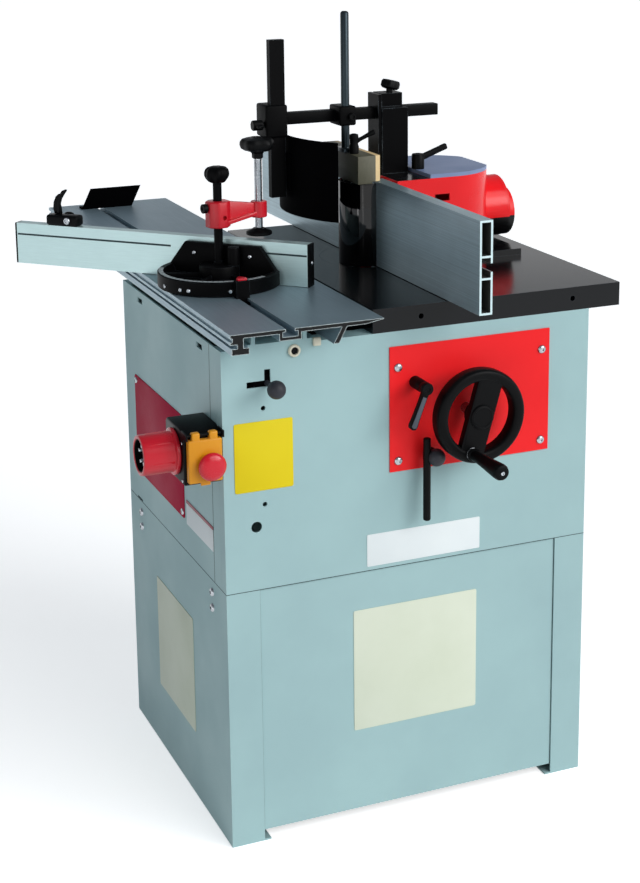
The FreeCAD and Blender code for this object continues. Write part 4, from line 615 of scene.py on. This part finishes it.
print("stage: mitre gauge")
pivotAt = spot(-204, 6, 780)
gaugeAt = pivotAt @ about("Z", -45)
gauge = {"name": "gaugeCasting", "body": "mitre_head", "slot": "black_paint", "nodes": ["gauge_body"],
         "bowl": [(91, 0.8), (92, 1.8), (92, 21.6), (90.6, 22.8), (83, 22.8), (81.6, 20.6), (78, 12), (60, 10.6),
                  (31.4, 10.6), (30, 12), (30, 27), (28.6, 29.8), (26, 31), (13, 31)],
         "behind": ((-120, 18.95, -10), (120, 140, 70)), "wallSpan": (0.1, 9),
         "wall": [(-88, 2), (88, 2), (88, 22.8), (62, 58), (-62, 58), (-88, 22.8)],
         "rib": ((26, -2.5, 6), (84, 2.5, 18)), "ribTurns": (205, 270, 335),
         "knob": [(9, 30), (9, 55), (8.2, 57.4), (6, 58), (3, 58)], "knobAt": (24, 0, 0)}
gaugeShape = cutAway(turnedPiece(gauge["bowl"], gaugeAt, 128), boxPiece(*gauge["behind"], at=gaugeAt))
gaugeShape = fuse(gaugeShape,
                  outlinePiece(gauge["wall"], *gauge["wallSpan"], gaugeAt @ spot(0, 19, 0, toOperator), 1.4),
                  *[boxPiece(*gauge["rib"], 1.2, 2, gaugeAt @ about("Z", angle)) for angle in gauge["ribTurns"]],
                  turnedPiece(gauge["knob"], gaugeAt @ spot(*gauge["knobAt"]), 36))
dress(cutAway(gaugeShape, bore(8.1, -2, 50, gaugeAt)), gauge, "blackPaint")

scale = {"name": "gaugeScale", "body": "mitre_head", "slot": "steel", "span": (22.82, 23.2),
         "outline": bandOutline(90, 83.6, 196, 344, 60)}
dress(outlinePiece(scale["outline"], *scale["span"], gaugeAt, 0.1, 1), scale, "scaleGrey")
ticks = {"name": "gaugeTicks", "body": "mitre_head", "slot": "black_plastic", "turns": range(200, 341, 5),
         "inner": (84.4, 86.6), "outer": 89.4, "half": 0.35, "span": (23.22, 23.4)}
tickShapes = []
for number, angle in enumerate(ticks["turns"]):
    low = (ticks["inner"][number % 2], -ticks["half"], ticks["span"][0])
    high = (ticks["outer"], ticks["half"], ticks["span"][1])
    tickShapes.append(boxPiece(low, high, 0.06, 1, gaugeAt @ about("Z", angle)))
dress(gather(tickShapes), ticks, "blackPlastic")
rimScrews = {"name": "gaugeScrews", "body": "mitre_head", "slot": "steel", "turns": (236, 258, 267, 306),
             "profile": [(3, 0.05), (3, 1), (2.4, 1.7), (1.6, 1.8), (1.4, 1)]}
screwAt = [gaugeAt @ spot(0, 0, 9, upward, angle) @ spot(91.9, 0, 0, toRight) for angle in rimScrews["turns"]]
screwAt += [gaugeAt @ spot(x, 10, 42, toOperator) for x in (-46, 46)]
screwAt.append(gaugeAt @ spot(138, 28, 36, toRight))
dressTurned(rimScrews, "brightSteel", 20, *screwAt)
grooves = {"name": "mitreGrooves", "body": "mitre_head", "slot": "black_plastic",
           "strips": [((first, 18.7, 46), (last, 19.1, 48.8)) for first, last in ((-359.5, -90), (64, 134))]}
dress(gather([boxPiece(*strip, 0.1, 1, gaugeAt) for strip in grooves["strips"]]), grooves, "seamShade")
pointer = {"name": "gaugePointer", "body": "gauge_bar", "slot": "red_plastic", "span": (26.02, 29.4),
           "outline": [(-7, -103), (7, -103), (8, -97), (1.4, -87), (-1.4, -87), (-8, -97)]}
dress(outlinePiece(pointer["outline"], *pointer["span"], pivotAt, 0.8), pointer, "redPlastic")

fingerPinAt = gaugeAt @ spot(-279, 39, 73.3, toBack)
stopBlock = {"name": "lengthStopBlock", "body": "length_stop", "slot": "black_plastic", "nodes": ["stop_block"],
             "block": ((-307, 17, 64.85), (-251, 39, 81.8)), "pin": [(4, -0.5), (4, 4.6), (3.2, 5.3)]}
dress(fuse(boxPiece(*stopBlock["block"], 4.5, 4, gaugeAt), turnedPiece(stopBlock["pin"], fingerPinAt, 32)), stopBlock,
      "blackPlastic")
stopHead = {"name": "lengthStopScrew", "body": "length_stop", "slot": "steel",
            "profile": [(5.4, 0.05), (5.4, 2.4), (4.6, 3.4), (3, 3.6), (2.6, 2.2)]}
dressTurned(stopHead, "brightSteel", 28, gaugeAt @ spot(-268, 17, 74, toOperator))
stopLever = {"name": "lengthStopLever", "body": "length_stop", "slot": "black_plastic", "lows": (-6, 2), "width": 5,
             "prongs": [[(-6, 0), (7, 0), (6, 9), (4, 18), (6, 28), (3, 32), (-3, 27), (-7, 18), (-8, 8)],
                        [(4, 2), (8, 4), (9, 15), (12, 25), (18, 34), (22, 39), (20, 41), (13, 38), (7, 29),
                         (4, 16)]]}
leverShapes = [outlinePiece(prong, low, low + stopLever["width"], gaugeAt @ spot(-292, 28, 81.85, toOperator), 1.4)
               for prong, low in zip(stopLever["prongs"], stopLever["lows"])]
dress(gather(leverShapes), stopLever, "blackPlastic")
finger = {"name": "stopFinger", "body": "stop_flap", "slot": "black_plastic", "nodes": ["stop_finger"],
          "outline": roundedOutline(20, 55, 8, 6), "span": (-44.3, -39.3)}
fingerShape = outlinePiece(finger["outline"], *finger["span"], gaugeAt @ spot(-279, 0, 55.8, toOperator), 0.9)
dress(cutAway(fingerShape, bore(4.1, -3, 8, fingerPinAt, 32)), finger, "blackPlastic")

print("stage: hold-down clamp")
clampAt = spot(-204, 6, 0)
armAt = clampAt @ about("Z", 10)
tipAt = armAt @ spot(70, 0, 0)
post = {"name": "clampPost", "body": "hold_down_post", "slot": "black_paint", "nodes": ["clamp_post"],
        "rod": [(7.6, 811.05), (8, 811.6), (8, 814.4), (6.5, 815.2), (6.5, 934)],
        "knob": [(9, 933), (12.6, 934.2), (17, 939), (19, 943.5), (19, 948), (17.4, 952.6), (14, 955.8), (10, 957)]}
dress(fuse(turnedPiece(post["rod"], clampAt, 40), turnedPiece(post["knob"], clampAt, 84, 7, 0.13)), post,
      "blackPaint")
arm = {"name": "clampArm", "body": "hold_down_arm", "slot": "red_paint", "nodes": ["clamp_arm"],
       "web": [(8, 867), (64, 877), (64, 896), (8, 905)], "webSpan": (-5, 5),
       "flange": [(8, -13), (66, -9), (66, 9), (8, 13)], "flangeSpan": (0, 6), "slope": -9.5,
       "hub": [(18.4, 866.4), (19, 868), (19, 904), (18.4, 905.6)],
       "tip": [(11.6, 874), (12.4, 875), (12.4, 896.6), (11.4, 898)], "bore": (860, 910)}
flangeAt = armAt @ spot(0, 0, 867.5) @ about("Y", arm["slope"])
armShape = fuse(roundEdges(turnedPiece(arm["hub"], armAt @ about("Z", 22.5), 8), 1.6, 2, 20),
                outlinePiece(arm["web"], *arm["webSpan"], armAt @ toOperator, 1.6),
                outlinePiece(arm["flange"], *arm["flangeSpan"], flangeAt, 1.4), turnedPiece(arm["tip"], tipAt))
armShape = cutAway(armShape, bore(6.6, *arm["bore"], armAt), bore(6.1, *arm["bore"], tipAt),
                   bore(3.6, 12, 24, armAt @ spot(2, 0, 882, toOperator), 24))
dress(armShape, arm, "clampRed")
setScrew = {"name": "clampSetScrew", "body": "hold_down_arm", "slot": "black_plastic",
            "profile": [(4, 16), (4, 19), (6.6, 19), (7, 19.6), (7, 25.4), (6.4, 26), (3, 26), (2.8, 24.6)]}
dressTurned(setScrew, "blackPlastic", 32, armAt @ spot(0, 0, 896, toLeft))
foot = {"name": "clampFoot", "body": "hold_down_foot", "slot": "black_plastic", "nodes": ["clamp_foot"],
        "profile": [(18.6, 847), (19.5, 847.8), (19.5, 851.4), (18, 852.8), (11, 855.4), (9, 857)]}
dressTurned(foot, "blackPlastic", 48, tipAt)

screw = {"name": "clampScrew", "body": "hold_down_screw", "slot": "steel", "nodes": ["clamp_screw"],
         "low": 857.1, "high": 961, "pitch": 2, "thread": ((6, 0), (6, 0.5), (5.3, 1.1), (5.3, 1.5))}
screw["profile"] = [(5.2, screw["low"])]
threadHeight = screw["low"] + 1
while threadHeight < screw["high"] - screw["pitch"]:
    screw["profile"] += [(radius, threadHeight + rise) for radius, rise in screw["thread"]]
    threadHeight += screw["pitch"]
screw["profile"] += [(6, threadHeight), (6, screw["high"] + 1)]
dressTurned(screw, "brightSteel", 32, tipAt)
screwKnob = {"name": "clampScrewKnob", "body": "hold_down_screw", "slot": "black_plastic",
             "profile": [(7.4, 962.4), (8.6, 963.4), (9, 970), (12, 973), (20, 974.6), (25, 977.6), (27, 982.6),
                         (26.6, 987.6), (23.6, 991.6), (17, 993.6), (8, 994)]}
dressTurned(screwKnob, "blackPlastic", 84, tipAt, lobes=5, lobeDepth=0.12)

print("stage: pressure device")
wingAt = spot(-108, 62, 1005, toLeft)
rodAt = spot(27.5, 65.5, 0)
columnAt = spot(110.5, 83, 0)
pressureBar = {"name": "pressureBar", "body": "cross_bar", "slot": "black_paint", "nodes": ["pressure_bar"],
               "bar": ((-99, 74, 1001), (191.4, 92, 1019)), "clamp": ((-108, 52, 985), (-72.6, 96, 1035)),
               "window": ((-99.75, 55.75, 970), (-75.25, 68.25, 1050))}
barShape = fuse(boxPiece(*pressureBar["bar"], 1.2), boxPiece(*pressureBar["clamp"], 3.4, 3))
dress(cutAway(barShape, boxPiece(*pressureBar["window"]), bore(4.1, -10, 2, wingAt, 32)), pressureBar, "blackPaint")
wing = {"name": "postWingKnob", "body": "wing_knob", "slot": "black_plastic", "nodes": ["post_wing_knob"],
        "hub": [(3.8, -8.2), (4, -8), (4, 3), (7.6, 3), (8, 3.6), (8, 17.6), (7, 19), (4, 19)], "span": (6, 16),
        "wings": [(-2.6, -6), (-2.4, -13), (-1, -17), (1, -17), (2.4, -13), (2.6, -6), (2.6, 6), (2.4, 13), (1, 17),
                  (-1, 17), (-2.4, 13), (-2.6, 6)]}
dress(fuse(turnedPiece(wing["hub"], wingAt, 40), outlinePiece(wing["wings"], *wing["span"], wingAt, 1)), wing,
      "blackPlastic")
rodClamp = {"name": "rodClamp", "body": "rod_holder", "slot": "black_paint", "nodes": ["rod_clamp"],
            "block": ((13.5, 54, 996), (41.5, 97, 1026)), "window": ((0, 73.8, 1000.8), (60, 92.2, 1019.2))}
dress(cutAway(boxPiece(*rodClamp["block"], 3, 3), bore(6.6, 980, 1040, rodAt), boxPiece(*rodClamp["window"])),
      rodClamp, "blackPaint")
rodScrew = {"name": "rodClampScrew", "body": "rod_holder", "slot": "black_plastic",
            "profile": [(4, 0.05), (4, 1.4), (6, 1.4), (6.4, 2), (6.4, 5.4), (5.4, 6.4), (3.4, 6.4), (3, 4.4)]}
dressTurned(rodScrew, "blackPlastic", 6, spot(33, 54, 1010, toOperator))
rod = {"name": "pressureRod", "body": "top_presser", "slot": "bright_rod", "nodes": ["pressure_rod"],
       "profile": [(6.5, 959), (6.5, 1167.6), (5.6, 1169.4), (3.2, 1171)],
       "foot": ((17.5, 48, 955.05), (37.5, 83, 961))}
dress(fuse(turnedPiece(rod["profile"], rodAt, 40), boxPiece(*rod["foot"], 1.2)), rod, "darkRod")

shoeLever = {"name": "shoeLever", "body": "top_presser", "slot": "black_plastic", "at": (30, 38), "lift": 972,
             "hub": [(6.6, 955.05), (7.4, 956), (7.6, 966), (6.6, 969), (6.6, 977), (7.4, 979), (6.6, 984.6),
                     (3, 986)],
             "arm": [(3.4, 0), (3.8, 4), (3, 12), (3.4, 24), (4.4, 33), (3.4, 36), (1.6, 37)]}
shoeArmAt = spot(*shoeLever["at"], shoeLever["lift"]) @ about("Z", -20) @ about("Y", 62)
dress(fuse(turnedPiece(shoeLever["hub"], spot(*shoeLever["at"], 0), 36),
           turnedPiece(shoeLever["arm"], shoeArmAt, 28)), shoeLever, "blackPlastic")
shoe = {"name": "pressureShoe", "body": "top_presser", "slot": "shoe_wood", "nodes": ["top_shoe"],
        "span": (911.5, 955), "outline": [(22.5, 6), (51.5, 6), (61, 9), (61, 173), (22.5, 173)],
        "step": ((46.4, -20, 900), (80, 200, 915))}
dress(cutAway(outlinePiece(shoe["outline"], *shoe["span"], upward, 1.2), boxPiece(*shoe["step"])), shoe, "shoeWood")
guard = {"name": "cutterGuard", "body": "fence_unit", "slot": "gloss_black", "nodes": ["cutter_guard"],
         "at": (54.7, 52.3, 0), "wall": bandOutline(42, 39, 132, 270, 40), "span": (781, 911),
         "tongue": [(15.6, 63), (96.7, 63), (96.7, 80), (25, 80)], "tongueSpan": (906, 908.9)}
dress(fuse(outlinePiece(guard["wall"], *guard["span"], spot(*guard["at"]), 0.5),
           outlinePiece(guard["tongue"], *guard["tongueSpan"], upward, 0.4)), guard, "glossBlack")
barKnob = {"name": "barLockKnob", "body": "bar_knob", "slot": "black_plastic", "nodes": ["bar_lock_knob"],
           "pin": [(5, 1019.3), (5, 1046), (4, 1047)], "headHeight": 1044.8, "lean": 14,
           "head": [(8, 0), (13, 1), (16, 4), (16, 11), (14, 14.4), (8, 15)]}
headAt = columnAt @ spot(0, 0, barKnob["headHeight"]) @ about("Y", barKnob["lean"])
dress(fuse(turnedPiece(barKnob["pin"], columnAt, 32), turnedPiece(barKnob["head"], headAt, 84, 6, 0.14)), barKnob,
      "blackPlastic")

print("stage: lid lever")
lidAt = spot(146, 53, 921)
lidLever = {"name": "lidLever", "body": "lid_lever", "slot": "black_plastic", "nodes": ["lid_lock_lever"],
            "hub": [(3.8, -14), (4, -13.6), (4, 0.05), (9.6, 0.05), (10, 0.6), (10, 22), (9, 23.6), (7, 24), (4, 24),
                    (3.8, 23)], "span": (-4.4, 4.4), "lift": 15, "rise": -20,
            "arm": [(0, -5), (20, -4.2), (40, -4), (50, -4.8), (53, -3), (53, 3), (50, 4.8), (40, 4), (20, 4.2),
                    (0, 5)]}
lidArmAt = lidAt @ spot(0, 0, lidLever["lift"]) @ about("Y", lidLever["rise"])
dress(fuse(turnedPiece(lidLever["hub"], lidAt, 40),
           outlinePiece(lidLever["arm"], *lidLever["span"], lidArmAt, 2.2, 3)), lidLever, "blackPlastic")

print("stage: dome screws")
screwHeads = {"name": "panelScrews", "body": "cabinet", "slot": "steel", "nodes": ["panel_screws"],
              "profile": [(3, -9), (3, 0.02), (6.5, 0.02), (6.3, 1.2), (5.4, 2.5), (4, 3.3), (2.6, 3.5), (2.5, 1.8)]}
screwAt = [spot(x, y, z, turn) for x, turn in ((-288, toLeft), (288, toRight)) for y in (-175, 175)
           for z in (373, 349)]
screwAt += [spot(x, -239, z, toOperator) for x in (-24, 208) for z in (553, 692)]
dressTurned(screwHeads, "brightSteel", 28, *screwAt)

print("stage: blank plates")
plates = [
    {"name": "yellowPlate", "slot": "yellow_plastic", "finish": "yellowFoil",
     "at": spot(-228.5, -237.02, 589.5, toOperator), "size": (87, 101), "corner": 3},
    {"name": "whitePlate", "slot": "cream_plastic", "finish": "whiteFoil",
     "at": spot(18, -237.02, 422.5, toOperator), "size": (182, 49), "corner": 2},
    {"name": "frontPlate", "slot": "cream_plastic", "finish": "creamFoil",
     "at": spot(6, -234.52, 237.5, toOperator), "size": (200, 189), "corner": 3},
    {"name": "sideRedPlate", "slot": "red_plastic", "finish": "redFoil",
     "at": spot(-288.02, 65.5, 522.5, toLeft, 90), "size": (243, 161), "corner": 6},
    {"name": "sideWhitePlate", "slot": "cream_plastic", "finish": "whiteFoil",
     "at": spot(-288.02, -126, 454.5, toLeft, 90), "size": (122, 33), "corner": 2},
    {"name": "sideStrip", "slot": "red_plastic", "finish": "maroonFoil",
     "at": spot(-288.02, -126, 473.6, toLeft, 90), "size": (122, 4.8), "corner": 1},
    {"name": "sidePlate", "slot": "cream_plastic", "finish": "creamFoil",
     "at": spot(-288.02, 11, 199.5, toLeft, 90), "size": (180, 185), "corner": 3},
]
plateThickness = 0.9
for plate in plates:
    outline = roundedOutline(*plate["size"], plate["corner"])
    dress(outlinePiece(outline, 0, plateThickness, plate["at"], 0.25), {"body": "cabinet", **plate}, plate["finish"])
rivets = {"name": "sidePlateScrews", "body": "cabinet", "slot": "steel",
          "profile": [(5, 0.02), (4.8, 1), (3.8, 1.9), (2.4, 2.3), (2.2, 1.2)]}
dressTurned(rivets, "brightSteel", 28, *[spot(-288.92, y, z, toLeft) for y in (-47, 178) for z in (451, 594)])

print("stage: sheet seams and table bolt")
# Thin dark strips: the joints between the sheets, and painted shadow in the corners of the recessed base front and
# under the upper front panel's bottom edge.
seams = {"name": "seamAndShadowLines", "body": "cabinet", "slot": "cabinet_paint",
         "strips": [((-288, -237.2, 391.4), (288, -236.8, 392.4)), ((-288.2, -237, 391.4), (-287.8, 237, 392.4)),
                    ((-288.2, -188, 392.6), (-287.8, -187, 744)), ((-288.2, 168, 393), (-287.8, 194, 396)),
                    ((-238, -234.8, 16), (-237, -234.4, 391)), ((237, -234.8, 16), (238, -234.4, 391))]}
dress(gather([boxPiece(*strip, 0.08, 1) for strip in seams["strips"]]), seams, "seamShade")
cover = {"name": "seamCover", "body": "cabinet", "slot": "cabinet_paint",
         "strip": ((-288.16, -218.4, 392.6), (-287.9, -214.6, 744.4))}
dress(boxPiece(*cover["strip"], 0.06, 1), cover, "powderCoat")
railBoltAt = spot(-181.5, -237, 735.4, toOperator)
railBolt = {"name": "railBolt", "body": "cabinet", "slot": "cream_plastic",
            "profile": [(8.6, 0.05), (9, 0.6), (9, 3.4), (7.8, 4.8), (5.6, 5), (5.2, 2.6), (2, 2.4)]}
dressTurned(railBolt, "creamPlastic", 36, railBoltAt)
railSocket = {"name": "railBoltSocket", "body": "cabinet", "slot": "black_plastic",
              "profile": [(4.8, 2.65), (4.8, 3.4), (4.2, 4), (2.4, 4), (2, 3)]}
dressTurned(railSocket, "blackPlastic", 24, railBoltAt)
glidePad = {"name": "glidePad", "body": "cabinet", "slot": "cream_plastic",
            "block": ((-154, -243, 739), (-142.6, -237.05, 751))}
dress(boxPiece(*glidePad["block"], 1.6, 3), glidePad, "creamPlastic")

print("stage: floor, light and camera")
white = (1, 1, 1, 1)
black = (0, 0, 0, 1)
floorLook = {"name": "studioFloor", "size": 80, "tones": ((249, 249, 249), (251, 251, 251)), "glow": 0.6,
             "rough": 0.9}
bpy.ops.mesh.primitive_plane_add(size=floorLook["size"], location=(0, 0, 0))
floor = bpy.context.object
floor.name = floorLook["name"]
floorMaterial, floorTree, floorShader = newMaterial("paleFloor")
floorNoise = addNoise(floorTree, 3.0, 3.0, 0.5)
floorTones = [tone(*shade) for shade in floorLook["tones"]]
floorTree.links.new(mixColours(floorTree, floorNoise.outputs[0], *floorTones), floorShader.inputs["Base Color"])
floorPath = addNode(floorTree, "LightPath")
seen = addMath(floorTree, "MAXIMUM")
wire(floorTree, (floorPath, "Is Camera Ray", seen, 0), (floorPath, "Is Glossy Ray", seen, 1))
floorTree.links.new(mixColours(floorTree, seen.outputs[0], black, white), floorShader.inputs["Emission Color"])
floorShader.inputs["Emission Strength"].default_value = floorLook["glow"]
floorShader.inputs["Roughness"].default_value = floorLook["rough"]
floorShader.inputs["Specular IOR Level"].default_value = 0.0
floor.data.materials.append(floorMaterial)

# The camera sees a white world, mirrors see it pale at the horizon and dark above, and the rest is soft fill.
scene = bpy.context.scene
worldLook = {"fill": (0.165, 0.192, 0.22, 1), "above": (0.24, 0.26, 0.29, 1), "fade": (0.19, 0.25)}
world = bpy.data.worlds.new("studioWorld")
scene.world = world
world.use_nodes = True
worldTree = world.node_tree
rayPath = addNode(worldTree, "LightPath")
direction = addNode(worldTree, "TexCoord")
height = addNode(worldTree, "SeparateXYZ")
fade = addRange(worldTree, *worldLook["fade"])
wire(worldTree, (direction, "Generated", height, 0), (height, "Z", fade, "Value"))
backdrop = mixColours(worldTree, fade.outputs[0], white, worldLook["above"])
mirrored = mixColours(worldTree, rayPath.outputs["Is Glossy Ray"], worldLook["fill"], backdrop)
worldTree.links.new(mixColours(worldTree, rayPath.outputs["Is Camera Ray"], mirrored, white),
                    worldTree.nodes["Background"].inputs["Color"])


def addLamp(spec, kind):
    data = bpy.data.lights.new(spec["name"], kind)
    data.energy = spec["strength"]
    lamp = bpy.data.objects.new(spec["name"], data)
    scene.collection.objects.link(lamp)
    lamp.location = spec["at"]
    lamp.rotation_mode = "QUATERNION"
    lamp.rotation_quaternion = (Vector(spec["aim"]) - Vector(spec["at"])).to_track_quat("-Z", "Y")
    return data


sun = {"name": "keySun", "at": (0.45, -0.75, 0.5), "aim": (0, 0, 0), "strength": 1.66, "spread": 50}
addLamp(sun, "SUN").angle = math.radians(sun["spread"])
softBoxes = [
    {"name": "rightBox", "at": (2.4, -2.6, 2.2), "aim": (0.1, -0.2, 0.6), "size": (1.5, 1.5), "strength": 30},
    {"name": "stripBox", "at": (-1.5, -2.3, 1.1), "aim": (0.0, 0.05, 0.85), "size": (0.03, 2.0), "strength": 1.4},
    {"name": "edgeBox", "at": (-2.3, -1.6, 1.1), "aim": (0.0, 0.05, 0.85), "size": (0.05, 2.0), "strength": 5.5},
]
for box in softBoxes:
    data = addLamp(box, "AREA")
    data.shape = "RECTANGLE"
    data.size, data.size_y = box["size"]

# The camera as solved from the photograph: its place, its turns in degrees, and its focal length in pixels.
view = {"at": (-1016.9, -2384.3, 1375.6), "azimuth": 23.039, "elevation": 12.898, "roll": -0.49,
        "focal": 1732.9, "centre": (345, 270), "frame": (640, 883), "sensor": 36, "reach": 200}
azimuth, elevation, roll = (math.radians(view[name]) for name in ("azimuth", "elevation", "roll"))
ahead = Vector((math.sin(azimuth) * math.cos(elevation), math.cos(azimuth) * math.cos(elevation),
                -math.sin(elevation)))
level = Vector((math.cos(azimuth), -math.sin(azimuth), 0))
upright = level.cross(ahead)
across = math.cos(roll) * level + math.sin(roll) * upright
above = math.cos(roll) * upright - math.sin(roll) * level
frameWidth, frameHeight = view["frame"]
camera = bpy.data.objects.new("photoCamera", bpy.data.cameras.new("photoCamera"))
scene.collection.objects.link(camera)
camera.data.sensor_width = view["sensor"]
camera.data.lens = view["focal"] / frameHeight * view["sensor"]
camera.data.shift_x = (frameWidth / 2 - view["centre"][0]) / frameHeight
camera.data.shift_y = (view["centre"][1] - frameHeight / 2) / frameHeight
camera.data.clip_end = view["reach"]
turnToView = Matrix((across, above, -ahead)).transposed().to_4x4()
camera.matrix_world = Matrix.Translation(Vector(view["at"]) * mm) @ turnToView
scene.camera = camera
scene.view_settings.view_transform = "Standard"
